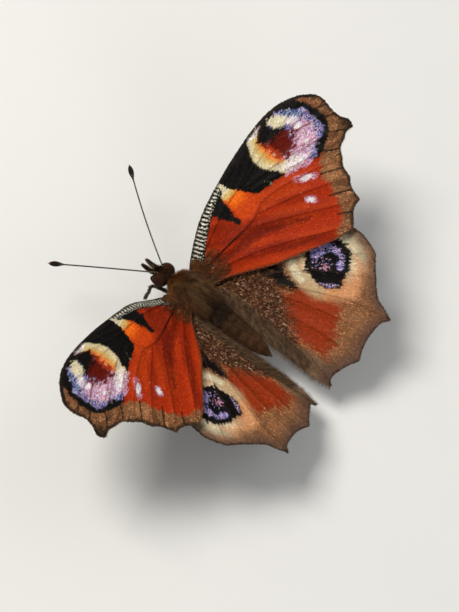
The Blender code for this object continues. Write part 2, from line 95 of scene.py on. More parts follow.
# Outline of a wing as runs between corners
FORE_RUNS = [
    [(-2.4, 2.0), (0.0, 3.4), (4.0, 5.15), (8.5, 6.2), (14.0, 6.95), (19.5, 7.3), (23.5, 6.95),
     (26.6, 5.6), (28.6, 3.7), (29.0, 2.2), (28.6, 0.2), (28.6, -1.3), (29.1, -2.6), (28.7, -3.65)],
    [(28.7, -3.65), (27.5, -3.4), (26.4, -3.8)],
    [(26.4, -3.8), (25.0, -4.2), (24.0, -5.3)],
    [(24.0, -5.3), (23.0, -6.3), (22.5, -7.9)],
    [(22.5, -7.9), (21.4, -9.0), (20.8, -11.0)],
    [(20.8, -11.0), (19.0, -11.3), (17.1, -12.8)],
    [(17.1, -12.8), (14.5, -12.1), (10.0, -9.6), (6.0, -7.3), (2.5, -4.7), (0.0, -2.9), (-2.4, -1.6)],
]
HIND_RUNS = [
    [(-1.4, 1.2), (1.2, 2.4), (4.0, 2.6), (8.0, 1.5), (12.0, -0.7), (15.5, -4.1), (18.0, -8.0),
     (18.7, -10.8), (18.3, -12.9), (17.6, -14.6)],
    [(17.6, -14.6), (16.0, -15.8), (14.9, -16.8)],
    [(14.9, -16.8), (13.6, -17.9), (12.5, -19.2), (12.0, -20.7), (11.3, -22.3)],
    [(11.3, -22.3), (10.2, -21.5), (8.8, -21.3), (7.6, -21.3)],
    [(7.6, -21.3), (5.8, -21.6), (4.0, -22.4)],
    [(4.0, -22.4), (2.2, -21.4), (0.4, -20.8), (-0.7, -20.8), (-1.4, -21.5)],
    [(-1.4, -21.5), (-1.9, -19.0), (-2.0, -14.0), (-1.9, -9.0), (-1.6, -4.0), (-1.4, 1.2)],
]

# Veins: rise, then the points that the crest runs through
FORE_VEINS = {
    "cell_rear": (0.17, [(-1.0, 0.3), (3.0, -0.2), (7.2, -0.8), (9.8, -0.7), (11.5, -0.1)]),
    "radius": (0.18, [(-1.0, 1.3), (4.0, 2.6), (8.5, 3.4), (11.6, 3.6)]),
    "cell_end": (0.10, [(11.6, 3.6), (12.1, 1.9), (11.5, -0.1)]),
    "subcosta": (0.16, [(-1.0, 2.1), (4.0, 4.1), (9.0, 5.4), (13.5, 6.2)]),
    "r1": (0.12, [(8.5, 3.4), (13.5, 5.3), (18.0, 6.5)]),
    "r2": (0.12, [(11.6, 3.6), (17.0, 5.3), (22.3, 6.6)]),
    "r3": (0.13, [(11.6, 3.6), (19.0, 4.1), (24.0, 4.7), (27.2, 4.6)]),
    "r4": (0.11, [(19.0, 4.1), (24.0, 3.6), (28.5, 2.5)]),
    "r5": (0.11, [(19.0, 4.1), (23.8, 2.0), (28.1, 0.3)]),
    "m1": (0.12, [(11.9, 2.9), (18.0, 1.3), (24.0, -1.1), (28.1, -3.1)]),
    "m2": (0.12, [(12.1, 1.9), (17.0, 0.1), (22.0, -2.0), (25.9, -3.6)]),
    "m3": (0.13, [(11.5, -0.1), (15.0, -1.0), (19.5, -3.0), (23.5, -5.0)]),
    "cua1": (0.14, [(9.8, -0.7), (15.9, -3.8), (19.2, -5.8), (22.0, -7.6)]),
    "cua2": (0.14, [(7.2, -0.8), (10.3, -3.0), (13.8, -5.7), (17.3, -8.4), (20.3, -10.6)]),
    "2a": (0.14, [(-1.0, -0.7), (4.8, -3.6), (9.9, -7.0), (13.2, -9.6), (16.6, -12.1)]),
}
HIND_VEINS = {
    "stem": (0.15, [(-0.6, 0.2), (2.4, -1.2), (4.6, -3.2)]),
    "sc_r1": (0.14, [(-0.6, 0.9), (4.0, 1.4), (10.0, -0.6), (14.8, -4.3), (17.4, -8.2)]),
    "rs": (0.13, [(2.4, -1.2), (8.0, -2.3), (13.5, -5.5), (18.0, -10.6)]),
    "m1": (0.13, [(4.6, -3.2), (10.0, -6.2), (14.2, -10.2), (17.1, -14.1)]),
    "m2": (0.12, [(4.6, -3.2), (9.4, -8.2), (12.7, -13.2), (14.5, -16.3)]),
    "m3": (0.14, [(4.2, -4.4), (7.6, -10.5), (10.2, -16.5), (11.2, -21.5)]),
    "cua1": (0.14, [(3.4, -4.4), (5.6, -11.0), (7.1, -17.0), (7.6, -20.9)]),
    "cua2": (0.13, [(1.8, -1.0), (2.9, -8.0), (3.7, -15.0), (4.0, -21.8)]),
    "2a": (0.12, [(0.2, -0.4), (0.8, -7.0), (0.6, -14.0), (-0.6, -20.2)]),
}

# Feelers, palps, tongue and legs, as in the solids
ANTENNA_ROOT_WAY = np.array((0.75, -1.0, 1.1))
ANTENNA_TIP = np.array((10.2, -18.35, -2.26))
ANTENNA_BOW = np.array((-0.12, -0.1, -0.3))
CLUB_LENGTH = 2.6
PALP_ROOT_WAY = np.array((0.36, -1.0, -0.4))
PALP_TIP = np.array((0.5, -7.75, -3.5))
TONGUE_COIL = 1.05
TONGUE_RADIUS = 0.25
WALKING_LEGS = {
    "midleg": ((0.45, -0.05, -1.0), [(5.6, -1.0, 5.7), (7.9, -1.9, 1.0), (8.7, -2.2), (11.2, -3.1)]),
    "hindleg": ((0.42, 0.62, -1.0), [(4.8, 6.3, 5.2), (6.5, 9.8, 1.0), (6.9, 10.6), (8.0, 13.2)]),
}
FORELEG_WAY = (0.36, -0.62, -0.7)
FORELEG_POINTS = [(1.3, -4.4, -5.1), (2.6, -4.5, -5.3), (3.0, -4.4, -6.5)]

# Fine sizes that only the finished surface has
MEMBRANE_HALF = 0.055
VEIN_SHARE = 0.8
VEIN_HALF_WIDTH = 0.26
PLEAT_DEPTH = 0.16
FINE_STEP = 0.19
FORE_FLOW = (-9.0, 3.5)
HIND_FLOW = (-3.5, 8.0)
STRIPE_PERIOD = 0.58
DASH_PERIOD = 0.42
EDGE_DITHER = 1.5
SCALE_WIDTH = 1.55
SCALE_LENGTH = 2.1
LOWER_SCALE_SPREAD = 1.12
SKIN_VOXEL = 0.13
FACET_STEPS = 5
FACET_DOME = 0.012
EYE_HAIRS = 1800
PALP_HAIRS = 2600
LEG_HAIRS = 2600
FOOT_SPINES = 260
FORELEG_HAIRS = 3600
FEELER_RING_PITCH = 0.36
TONGUE_TURNS = 2.6
TONGUE_HEART = 0.18
FOOT_HEIGHT = 0.13
THORAX_COAT = 0.5
HEAD_COAT = 0.28
ABDOMEN_COAT = 0.32
BAKE_PATCH = 0.003

# Photo view: the way back to the camera, its up, the point it looks at and the height it sees
VIEW_BACK = Vector((0.4226, 0.1418, 0.8951))
VIEW_UP = Vector((-0.7103, -0.5616, 0.4243))
VIEW_TARGET = Vector((-1.098, 2.340, 9.177))
VIEW_HEIGHT = 88.3

# Wing colours, linear
RED = (0.40, 0.027, 0.002)
DEEP_RED = (0.15, 0.009, 0.001)
BRIGHT_RED = (0.50, 0.046, 0.003)
ORANGE = (0.86, 0.15, 0.006)
AMBER = (0.70, 0.25, 0.035)
YELLOW = (0.66, 0.45, 0.14)
CREAM = (0.70, 0.62, 0.41)
BLACK = (0.004, 0.003, 0.0025)
BLACK_BROWN = (0.016, 0.009, 0.005)
MAROON = (0.12, 0.006, 0.001)
WHITE = (0.84, 0.78, 0.78)
LILAC = (0.60, 0.42, 0.58)
PINK = (0.66, 0.25, 0.32)
VIOLET = (0.22, 0.18, 0.42)
BLUE = (0.10, 0.17, 0.40)
TAN = (0.66, 0.31, 0.135)
BROWN = (0.27, 0.11, 0.042)
DARK_BROWN = (0.060, 0.029, 0.014)
OLIVE_BROWN = (0.13, 0.075, 0.028)
GOLD_BROWN = (0.30, 0.14, 0.06)
GREY_BROWN = (0.13, 0.08, 0.05)
STRIPE_CREAM = (0.80, 0.76, 0.62)

# Coat colours, linear
HAIR_BROWN = (0.068, 0.029, 0.009)
HAIR_RUST = (0.135, 0.042, 0.008)
HAIR_DARK = (0.018, 0.009, 0.004)
HAIR_GOLD = (0.22, 0.125, 0.045)
HAIR_GREY = (0.055, 0.042, 0.030)
HORN_BLACK = (0.014, 0.009, 0.006)
HORN_BROWN = (0.075, 0.042, 0.020)
BAND_PALE = (0.42, 0.36, 0.27)
CLUB_TIP = (0.33, 0.16, 0.05)


def smooth_step(low, high, value):
    """Eased rise from 0 at low to 1 at high; low may be the larger of the two."""
    t = np.clip((value - low) / (high - low), 0.0, 1.0)
    return t * t * (3.0 - 2.0 * t)


def unit(vectors):
    return vectors / np.maximum(np.linalg.norm(vectors, axis=-1, keepdims=True), 1e-9)


def catmull(before, start, end, after, t):
    """Catmull-Rom points between start and end."""
    return 0.5 * (2.0 * start + (end - before) * t
                  + (2.0 * before - 5.0 * start + 4.0 * end - after) * t ** 2
                  + (3.0 * start - before - 3.0 * end + after) * t ** 3)


def smooth_curve(points, step):
    """Samples of a Catmull-Rom curve through the points, about a step apart."""
    points = np.asarray(points, float)
    last = len(points) - 1
    samples = []
    for i in range(last):
        before, start = points[max(i - 1, 0)], points[i]
        end, after = points[i + 1], points[min(i + 2, last)]
        pieces = max(1, round(float(np.linalg.norm(end - start)) / step))
        samples.append(catmull(before, start, end, after, (np.arange(pieces) / pieces)[:, None]))
    samples.append(points[-1:])
    return np.vstack(samples)


def smooth_ring(corners, pieces=4):
    """A closed Catmull-Rom curve through the corners."""
    corners = np.asarray(corners, float)
    before, end, after = (np.roll(corners, shift, axis=0) for shift in (1, -1, -2))
    rows = [catmull(before, corners, end, after, t) for t in np.arange(pieces) / pieces]
    return np.stack(rows, axis=1).reshape(-1, 2)


def line_distance(spots, line):
    """Distance of each spot to a line of straight runs."""
    best = np.full(len(spots), 1e9)
    for start, end in zip(line, line[1:]):
        way = end - start
        t = np.clip((spots - start) @ way / max(float(way @ way), 1e-9), 0.0, 1.0)
        gap = spots - start - t[:, None] * way
        best = np.minimum(best, (gap ** 2).sum(axis=1))
    return np.sqrt(best)


def inside(spots, ring):
    """Which spots a closed ring holds."""
    x, y = spots.T
    odd = np.zeros(len(spots), bool)
    for start, end in zip(ring, np.roll(ring, -1, axis=0)):
        if start[1] != end[1]:
            reach_x = start[0] + (y - start[1]) * (end[0] - start[0]) / (end[1] - start[1])
            odd ^= ((start[1] > y) != (end[1] > y)) & (x < reach_x)
    return odd


def depth_in(spots, ring):
    """Distance to the ring, above 0 inside it."""
    away = line_distance(spots, np.vstack([ring, ring[:1]]))
    return np.where(inside(spots, ring), away, -away)


def mottle(spots, size, seed):
    """Smooth noise from 0 to 1 with lumps of the given size."""
    lattice = np.random.default_rng(seed).random((64, 64))
    cell = spots / np.asarray(size, float)
    low = np.floor(cell).astype(int)
    t = cell - low
    t = t * t * (3.0 - 2.0 * t)
    i, j = low.T
    rows = [lattice[(i + di) % 64, (j + dj) % 64] for di, dj in ((0, 0), (1, 0), (0, 1), (1, 1))]
    near = rows[0] * (1.0 - t[:, 0]) + rows[1] * t[:, 0]
    far = rows[2] * (1.0 - t[:, 0]) + rows[3] * t[:, 0]
    return near * (1.0 - t[:, 1]) + far * t[:, 1]


# Places


def pitched(points):
    """Body frame to the floor, without the shift that centres the box."""
    x, y, z = np.asarray(points, float).T
    turned_y = y * math.cos(HEAD_UP) + z * math.sin(HEAD_UP)
    turned_z = z * math.cos(HEAD_UP) - y * math.sin(HEAD_UP)
    return np.stack([x, turned_y, turned_z + STAND_HEIGHT], axis=-1)


def box_shift():
    """How far the solids were moved along Y to centre their box, read from the thorax."""
    low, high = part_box("thorax")
    middle = 0.5 * (low.y + high.y) / MM
    return np.array((0.0, middle - pitched(THORAX_CENTRE)[1], 0.0))


SHIFT = box_shift()


def to_floor(points):
    """Body frame to the floor's frame, on which the model stands."""
    return pitched(points) + SHIFT


def turn_to_floor(vectors):
    """Directions of the body frame on the floor's frame."""
    return pitched(vectors) - np.array((0.0, 0.0, STAND_HEIGHT))


def to_body(points):
    """Floor's frame back to the body frame."""
    x, y, z = (np.asarray(points, float) - SHIFT - (0.0, 0.0, STAND_HEIGHT)).T
    return np.stack([x, y * math.cos(HEAD_UP) - z * math.sin(HEAD_UP),
                     y * math.sin(HEAD_UP) + z * math.cos(HEAD_UP)], axis=-1)


def reach(way, half, power=2.0):
    """How far a superellipsoid of these half sizes reaches along a direction."""
    total = sum(abs(way[i] / half[i]) ** power for i in range(3))
    return total ** (-1.0 / power)


# Wing shape


def wing_axes(rise):
    """Ways out, forward and up of a wing's plane, from its rise outwards and its slope."""
    out = unit(np.array((1.0, 0.0, rise[0])))
    up = unit(np.array((-rise[0], rise[1], 1.0)))
    return out, np.cross(out, up), up


def fore_lift(u, v):
    """Camber of the forewing over its plane: arched, with the hooked tip bent down."""
    arch = FORE_ARCH * (1.0 - ((u - 13.0) / 13.0) ** 2)
    tip = smooth_step(26.0, 29.2, u) * smooth_step(0.5, -3.6, v)
    edge = 0.25 * smooth_step(5.2, 7.4, v)
    roll = FORE_COSTAL_ROLL * smooth_step(2.5, 6.0, v) * smooth_step(17.0, 9.0, u)
    base = smooth_step(6.0, -2.5, u) * (FORE_ROOT_DROP + FORE_ROOT_TWIST * np.maximum(0.0, v))
    return arch - 0.7 * tip - edge - roll - base


def fore_middle(spots):
    """Middle surface of the left forewing, in the body frame."""
    out, forward, up = wing_axes(FORE_RISE)
    u, v = spots.T
    return FORE_ROOT + np.outer(u, out) + np.outer(v, forward) + np.outer(fore_lift(u, v), up)


def fore_height(points):
    """Height of the forewing's middle surface over points of the body frame."""
    out, forward, up = wing_axes(FORE_RISE)
    x = points[:, 0] - FORE_ROOT[0]
    y = points[:, 1] - FORE_ROOT[1]
    z = x * FORE_RISE[0] - y * FORE_RISE[1]
    flat = np.stack([x, y, z], axis=-1)
    return FORE_ROOT[2] + z + fore_lift(flat @ out, np.maximum(flat @ forward, -13.5)) / up[2]


def hind_middle(spots):
    """The left hindwing dips beside the abdomen and passes under the forewing."""
    out, forward, up = wing_axes(HIND_RISE)
    u, v = spots.T
    gutter = HIND_GUTTER * smooth_step(2.2, -2.0, u)
    wave = 0.16 * smooth_step(-15.0, -22.0, v) * np.sin(u * 1.15)
    points = HIND_ROOT + np.outer(u, out) + np.outer(v, forward) + np.outer(wave - gutter, up)
    excess = points[:, 2] - fore_height(points) + WING_OVERLAP_DROP
    softened = np.where(v > -16.0, 0.5 * (excess + np.sqrt(excess ** 2 + 0.35 ** 2)), 0.0)
    points[:, 2] -= softened * smooth_step(-16.0, -12.0, v)
    return points


class WingForm:
    """One kind of wing: its flat outline, its veins, its curved surface and its markings."""

    def __init__(self, kind, runs, veins, middle, fan, upper, lower):
        self.kind = kind
        self.runs = [np.asarray(run, float) for run in runs]
        self.outline = np.vstack([smooth_curve(run, FINE_STEP)[:-1] for run in runs])
        self.veins = [(rise, smooth_curve(points, 0.8)) for rise, points in veins.values()]
        self.middle = middle
        self.fan = np.array(fan)
        self.faces = {1: upper, -1: lower}

    def relief(self, spots):
        """Rise of the veins on each face, and the sag of the membrane between them."""
        rise = np.zeros(len(spots))
        nearest = np.full(len(spots), 9.0)
        for height, line in self.veins:
            away = line_distance(spots, line)
            fade = np.minimum(1.0, 0.35 + np.linalg.norm(spots - line[-1], axis=1) / 4.0)
            crest = VEIN_SHARE * height * fade * smooth_step(VEIN_HALF_WIDTH, 0.0, away)
            rise = np.maximum(rise, crest)
            nearest = np.minimum(nearest, away)
        return rise, PLEAT_DEPTH * smooth_step(0.0, 1.3, nearest)

    def surface(self, spots, face, rim=None):
        """Points on the upper face (1) or the lower one (-1) of the left wing, on the floor's frame."""
        step = 0.01
        middle = self.middle(spots)
        across = self.middle(spots + (step, 0.0)) - middle
        forward = self.middle(spots + (0.0, step)) - middle
        normal = unit(np.cross(forward, across))
        rise, sag = self.relief(spots)
        half = MEMBRANE_HALF + rise
        if rim is not None:
            half = np.where(rim, 0.0, half)
        return to_floor(middle + normal * (face * half - sag)[:, None])

    def fit(self, spots, face, way=None):
        """Points on a face, a flat way laid on it, by default away from the root, and its normal."""
        step = 0.02
        here = self.surface(spots, face)
        across = self.surface(spots + (step, 0.0), face) - here
        forward = self.surface(spots + (0.0, step), face) - here
        way = unit(spots - self.fan) if way is None else way
        lie = unit(across * way[:, :1] + forward * way[:, 1:])
        return here, lie, unit(np.cross(forward, across)) * face

    def bake_place(self, spots, face):
        """Place of flat spots on the unwrap: the upper face above the lower one."""
        u, v = spots.T
        low_u, low_v = self.outline.min(axis=0) - 1.0
        high_u, high_v = self.outline.max(axis=0) + 1.0
        across = (u - low_u) / (high_u - low_u)
        up = (v - low_v) / (high_v - low_v) * 0.49
        return np.column_stack([across, up + (0.505 if face > 0 else 0.005)])


def mirrored(points, side):
    """Points or directions of the left side, moved to the side asked for."""
    return points * np.array((side, 1.0, 1.0))


# Wing markings


class Paint:
    """Colours of many spots of a wing, laid one marking over another."""

    def __init__(self, spots, grain, ground, fan=(0.0, 0.0)):
        self.spots = spots
        self.grain = grain
        self.dice = np.random.default_rng(5)
        away = spots - np.asarray(fan)
        self.flow = np.column_stack([np.linalg.norm(away, axis=1), 20.0 * np.arctan2(away[:, 1], away[:, 0])])
        self.rgb = np.tile(np.asarray(ground, float), (len(spots), 1))

    def cover(self, colour, share):
        """Blend a colour over every spot by its share."""
        self.rgb += (np.asarray(colour, float) - self.rgb) * np.clip(share, 0.0, 1.0)[:, None]

    def share_in(self, corners, edge, ragged):
        """Share of a marking at each spot: 1 inside its rounded corners, with a soft, ragged edge."""
        depth = depth_in(self.spots, smooth_ring(corners))
        wander = mottle(self.flow, (0.7, 0.16), 7) + 0.6 * mottle(self.spots, (0.9, 0.9), 8) - 0.8
        share = smooth_step(-0.5 * edge, 0.5 * edge, depth + ragged * wander)
        if self.grain is not None:
            toss = self.dice.random(len(share)) - 0.5
            share = np.clip(share + EDGE_DITHER * toss * (1.0 - np.abs(2.0 * share - 1.0)), 0.0, 1.0)
        return share

    def patch(self, colour, corners, edge=0.2, ragged=0.25, strength=1.0):
        self.cover(colour, strength * self.share_in(corners, edge, ragged))

    def streak(self, colour, line, width, edge=0.12, strength=1.0):
        away = line_distance(self.spots, smooth_curve(line, 0.5))
        self.cover(colour, strength * smooth_step(0.5 * width + edge, 0.5 * width - edge, away))

    def spot(self, colour, centre, half, edge=0.3, strength=1.0):
        away = np.linalg.norm((self.spots - np.asarray(centre)) / np.asarray(half), axis=1)
        self.cover(colour, strength * smooth_step(1.0 + edge, 1.0 - edge, away))

    def speckle(self, palette, corners, edge=0.3, ragged=0.3, strength=1.0):
        """Scales of several colours, mixed in the given shares."""
        share = strength * self.share_in(corners, edge, ragged)
        colours = np.array([colour for colour, _ in palette], float)
        weights = np.array([weight for _, weight in palette])
        weights = weights / weights.sum()
        if self.grain is None:
            self.cover(weights @ colours, share)
        else:
            pick = np.searchsorted(np.cumsum(weights), np.minimum(self.grain, 0.9999))
            self.rgb += (colours[np.minimum(pick, len(colours) - 1)] - self.rgb) * share[:, None]


def forewing_ground(p):
    """Brick red, streaked darker and brighter along the wing; the streaks are partly the wing's own tone and
    partly painted shade and sheen of the folds between its veins.
    """
    u, v = p.spots.T
    flow = np.column_stack([u * 0.82 - v * 0.57, u * 0.57 + v * 0.82])
    p.cover(DEEP_RED, 0.5 * smooth_step(0.35, 0.8, mottle(flow, (9.0, 0.8), 1)) * smooth_step(19.0, 12.0, u))
    p.cover(BRIGHT_RED, 0.6 * smooth_step(0.5, 0.85, mottle(flow, (7.0, 1.1), 2)))
    p.patch(DEEP_RED, [(-2, 0.3), (3, -0.1), (6.6, -0.5), (6.4, 2.2), (5.4, 3.5), (1.0, 1.6)], 1.4, 0.3, 0.4)
    # Partly painted shade: this darker band between the cell's rear vein and the hind veins stands in part
    # for the shade of a fold.
    p.patch(DEEP_RED, [(0, -0.5), (4, -0.9), (7.6, -1.6), (11, -4.2), (14.5, -7.2), (12.5, -6.4), (8, -3.6),
            (3, -1.8)], 1.0, 0.4, 0.85)
    p.patch(DEEP_RED, [(3, -2.9), (7, -5.3), (11, -8.0), (14, -10.6), (12.5, -10.0), (8, -7.0)], 0.9, 0.4,
            0.7)
    p.patch(BRIGHT_RED, [(8.0, 0.4), (12, 0.2), (17, -1.0), (19.5, -2.8), (16, -2.6), (11, -1.2)], 0.9, 0.3,
            0.7)


def forewing_flare(p):
    """Orange flare that pales to cream at the front edge."""
    p.patch((0.62, 0.062, 0.004), [(8.1, 4.4), (7.7, 2.0), (7.9, 0.3), (10.5, 0.0), (13.0, 0.7), (11.6, 2.6),
            (10.6, 4.5)], 2.0, 0.5, 0.9)
    p.patch(ORANGE, [(8.4, 4.6), (8.3, 3.0), (9.0, 2.2), (10.6, 2.2), (11.4, 3.0), (10.6, 4.6)], 1.6, 0.5)
    p.patch(AMBER, [(8.4, 5.0), (8.6, 3.9), (9.4, 3.5), (10.7, 3.6), (10.4, 4.8)], 0.8, 0.4, 0.8)
    p.patch(YELLOW, [(8.4, 5.4), (8.4, 4.1), (9.4, 3.7), (10.7, 3.8), (10.2, 5.2)], 0.6, 0.4)
    p.patch(CREAM, [(8.4, 6.6), (8.5, 4.9), (9.4, 4.6), (10.3, 4.7), (9.9, 6.6)], 0.4, 0.3)


def forewing_margin(p):
    """Brown outer margin, dusky along its streaks and paler behind the eyespot."""
    margin = [(23.4, 7.9), (25.0, 5.6), (26.2, 3.4), (26.2, 1.2), (25.8, -0.2), (24.6, -1.4), (23.0, -2.0),
              (21.9, -3.0), (20.4, -4.6), (19.9, -6.0), (19.1, -8.0), (17.8, -9.8), (16.4, -11.2),
              (14.2, -12.3), (17.0, -14.5), (24.0, -9.5), (31.0, -4.5), (31.0, 5.0), (27.0, 8.4)]
    p.patch(BROWN, margin, 0.9, 0.9)
    p.speckle([(BROWN, 4), (OLIVE_BROWN, 2.2), (TAN, 0.7), (DARK_BROWN, 1.4)], margin, 0.7, 0.7, 0.65)
    dusk = smooth_step(0.45, 0.9, mottle(p.flow, (2.2, 0.22), 35))
    dusk = dusk * smooth_step(0.2, 1.2, depth_in(p.spots, smooth_ring(margin)))
    p.cover(DARK_BROWN, 0.6 * dusk)
    p.patch(TAN, [(20.8, -4.3), (22.4, -4.0), (22.6, -5.4), (21.4, -6.6), (20.3, -6.2)], 0.9, 0.4, 0.25)
    p.patch((0.21, 0.07, 0.03), [(26.6, 5.0), (27.6, 3.8), (27.9, 2.4), (27.2, 2.2), (26.7, 3.8)], 0.7, 0.3,
            0.8)
    p.patch(DARK_BROWN, [(22.0, 7.9), (23.6, 6.7), (25.6, 5.7), (26.6, 5.2), (27.7, 4.2), (28.2, 3.0),
            (29.6, 2.4), (29.2, 5.5), (26.0, 8.0)], 0.7, 0.3, 0.9)


def eyespot_field(p):
    """Black rim of the forewing's eyespot and the violet, blue and pink field inside it."""
    p.patch(BLACK, [(17.4, 7.8), (15.8, 5.9), (15.0, 4.2), (15.0, 2.9), (15.5, 1.5), (16.4, 0.1),
            (17.5, -0.4), (18.9, -0.8), (20.0, -1.6), (21.1, -2.4), (22.3, -2.7), (23.6, -2.4), (24.9, -1.9),
            (26.2, -1.2), (27.0, 0.0), (27.2, 1.8), (27.0, 3.6), (26.0, 5.6), (24.0, 6.6), (22.8, 7.9)], 0.3,
            0.4)
    field = [(22.4, 6.3), (23.5, 5.7), (24.8, 4.9), (26.0, 3.3), (26.1, 1.2), (25.8, -0.3), (24.6, -1.1),
             (23.2, -1.0), (22.3, -1.9), (21.1, -2.2), (19.7, -1.8), (18.5, -1.1), (17.3, -0.4), (17.2, 1.0),
             (18.5, 4.5)]
    p.patch(VIOLET, field, 0.4, 0.4)
    p.speckle([(VIOLET, 4), (BLUE, 3), (LILAC, 2.4), (WHITE, 0.5), (BLACK, 3)], field, 0.5, 0.6)
    p.speckle([(BLUE, 4), (VIOLET, 1.5), ((0.38, 0.43, 0.54), 3.5), (BLACK, 3)], [(22.9, 6.1), (24.0, 5.6),
              (25.4, 4.2), (25.8, 3.3), (24.9, 2.9), (24.2, 4.0)], 0.6, 0.3, 0.85)
    p.speckle([(LILAC, 6), (PINK, 4.5), (WHITE, 2), (VIOLET, 0.8), (MAROON, 0.4)], [(17.6, 1.0), (19.0, 1.0),
              (21.5, 1.4), (22.8, 2.6), (23.8, 3.2), (24.9, 2.4), (25.0, 1.0), (24.0, -0.6), (22.4, -1.0),
              (21.0, -1.7), (19.4, -1.3), (18.0, -0.6)], 1.1, 0.8, 0.95)
    p.speckle([(PINK, 4), (LILAC, 5), (WHITE, 1.2), (MAROON, 0.4)], [(18.4, 1.0), (20.5, 0.3), (22.6, 0.6),
              (24.0, 2.0), (23.4, 2.9), (20.5, 1.6)], 0.9, 0.8, 0.6)
    p.speckle([(PINK, 3), (LILAC, 4), (RED, 2)], [(17.2, 0.0), (18.4, -0.5), (19.6, -0.9), (20.8, -1.4),
              (21.2, -2.3), (19.8, -2.1), (18.4, -1.4), (17.2, -0.7)], 0.5, 0.6, 0.9)


def eyespot_crescent(p):
    """Pale crescent on the eyespot's inner and hind side, yellow and orange inwards."""
    pale = [(16.8, 1.4), (17.8, 0.8), (19.2, 0.1), (20.6, -0.6), (21.6, -1.2), (20.6, -1.4), (19.2, -0.9),
            (18.0, -0.3), (17.0, 0.3)]
    p.speckle([(WHITE, 6), (LILAC, 1.5)], pale, 0.5, 0.5)
    crescent = [(19.9, 7.9), (19.5, 6.5), (18.5, 5.8), (18.1, 4.6), (18.0, 3.0), (18.0, 1.9), (18.6, 0.7),
                (17.4, -0.2), (16.3, 0.3), (15.7, 1.6), (15.4, 3.0), (15.6, 4.4), (16.2, 5.6), (17.1, 6.6),
                (17.5, 7.9)]
    p.patch(YELLOW, crescent, 0.3, 0.3)
    p.patch(CREAM, [(19.4, 7.9), (19.2, 6.6), (17.7, 6.0), (16.8, 4.8), (16.5, 3.0), (17.0, 1.5), (17.8, 0.5),
            (17.0, -0.2), (16.0, 0.8), (15.4, 3.0), (15.6, 4.4), (16.4, 5.8), (17.4, 7.9)], 0.7, 0.4, 0.8)
    p.patch(ORANGE, [(18.6, 5.4), (17.8, 5.0), (17.4, 3.8), (17.4, 2.4), (17.9, 1.2), (18.8, 1.0),
            (18.9, 4.0)], 0.8, 0.6, 0.8)
    p.speckle([(WHITE, 5), (CREAM, 3), (LILAC, 1)], [(17.4, 0.9), (18.6, 1.0), (19.8, 0.4), (19.6, -0.7),
              (18.2, -0.6), (17.0, 0.0)], 0.9, 0.8, 0.8)
    p.patch(WHITE, [(17.6, 7.9), (17.4, 6.7), (18.5, 6.4), (19.9, 6.7), (20.2, 7.9)], 0.4, 0.4, 0.7)


def eyespot_centre(p):
    """Maroon and black centre of the eyespot, its pale outer patch and the veins across it."""
    p.patch(MAROON, [(18.5, 5.6), (18.4, 3.7), (18.2, 2.4), (18.5, 1.2), (19.4, 0.9), (20.4, 1.1),
            (21.5, 1.4), (22.3, 2.1), (22.8, 3.0), (22.2, 4.2), (21.0, 5.6), (20.0, 6.2)], 1.0, 1.6)
    p.patch(BRIGHT_RED, [(18.6, 4.4), (18.3, 3.2), (18.2, 2.0), (18.8, 1.2), (18.9, 3.0)], 0.5, 0.5, 0.7)
    p.patch(BLACK, [(19.0, 6.2), (20.9, 6.6), (21.2, 5.7), (21.8, 4.9), (22.7, 3.7), (21.7, 3.7), (20.2, 3.9),
            (18.8, 4.4), (18.3, 5.3)], 0.9, 0.5)
    p.patch(CREAM, [(21.0, 6.1), (21.7, 6.5), (22.7, 6.0), (23.3, 5.2), (23.7, 4.0), (23.3, 3.5), (22.7, 3.9),
            (21.8, 4.6), (21.2, 5.4)], 0.6, 0.8)
    p.speckle([(WHITE, 5), (LILAC, 2)], [(22.7, 4.4), (23.3, 3.4), (24.3, 3.0), (24.4, 3.7), (23.5, 4.4)],
              0.6, 0.6, 0.8)
    p.spot(WHITE, (22.7, 0.2), (0.42, 0.34), 0.5, 0.9)
    p.spot(WHITE, (23.7, 2.5), (0.6, 0.4), 0.5, 0.8)
    for line in ([(21.8, 2.9), (23.4, 2.1), (25.2, 1.4)], [(19.6, 1.0), (21.6, 0.4), (24.0, -0.6)]):
        p.streak((0.20, 0.008, 0.006), line, 0.12, 0.12, 0.85)
    p.spot((0.62, 0.40, 0.26), (18.2, 2.6), (0.22, 0.2), 0.5, 0.8)


def eyespot_front_edge(p):
    """Dusky front edge beside the eyespot, broken by pale dashes."""
    u, v = p.spots.T
    costa = smooth_curve(FORE_RUNS[0][4:9], 0.5)
    away = line_distance(p.spots, costa)
    dash = smooth_step(0.2, 0.7, np.sin(2.0 * math.pi * (u - 0.5 * v) / DASH_PERIOD))
    dash = dash * smooth_step(21.5, 20.0, u) * smooth_step(17.0, 17.8, u)
    p.cover(BLACK_BROWN, smooth_step(0.6, 0.35, away + 0.2 * mottle(p.spots, (0.4, 0.4), 33)) * (1.0 - dash))


def forewing_specks(p):
    """White specks in a row behind the eyespot, with a violet halo."""
    p.speckle([(LILAC, 3), (PINK, 2), (RED, 2)], [(16.9, -2.0), (18.4, -2.2), (20.0, -4.1), (18.8, -4.0)],
              0.6, 0.4, 0.8)
    p.patch(WHITE, [(17.7, -2.6), (18.5, -2.7), (19.3, -3.5), (18.9, -3.7), (18.0, -3.2)], 0.3, 0.3, 0.95)
    p.patch(LILAC, [(15.8, -5.1), (16.5, -5.0), (17.1, -6.1), (16.5, -6.3)], 0.5, 0.3, 0.7)
    p.patch(WHITE, [(16.0, -5.3), (16.5, -5.2), (16.8, -5.9), (16.3, -6.0)], 0.25, 0.25, 0.95)


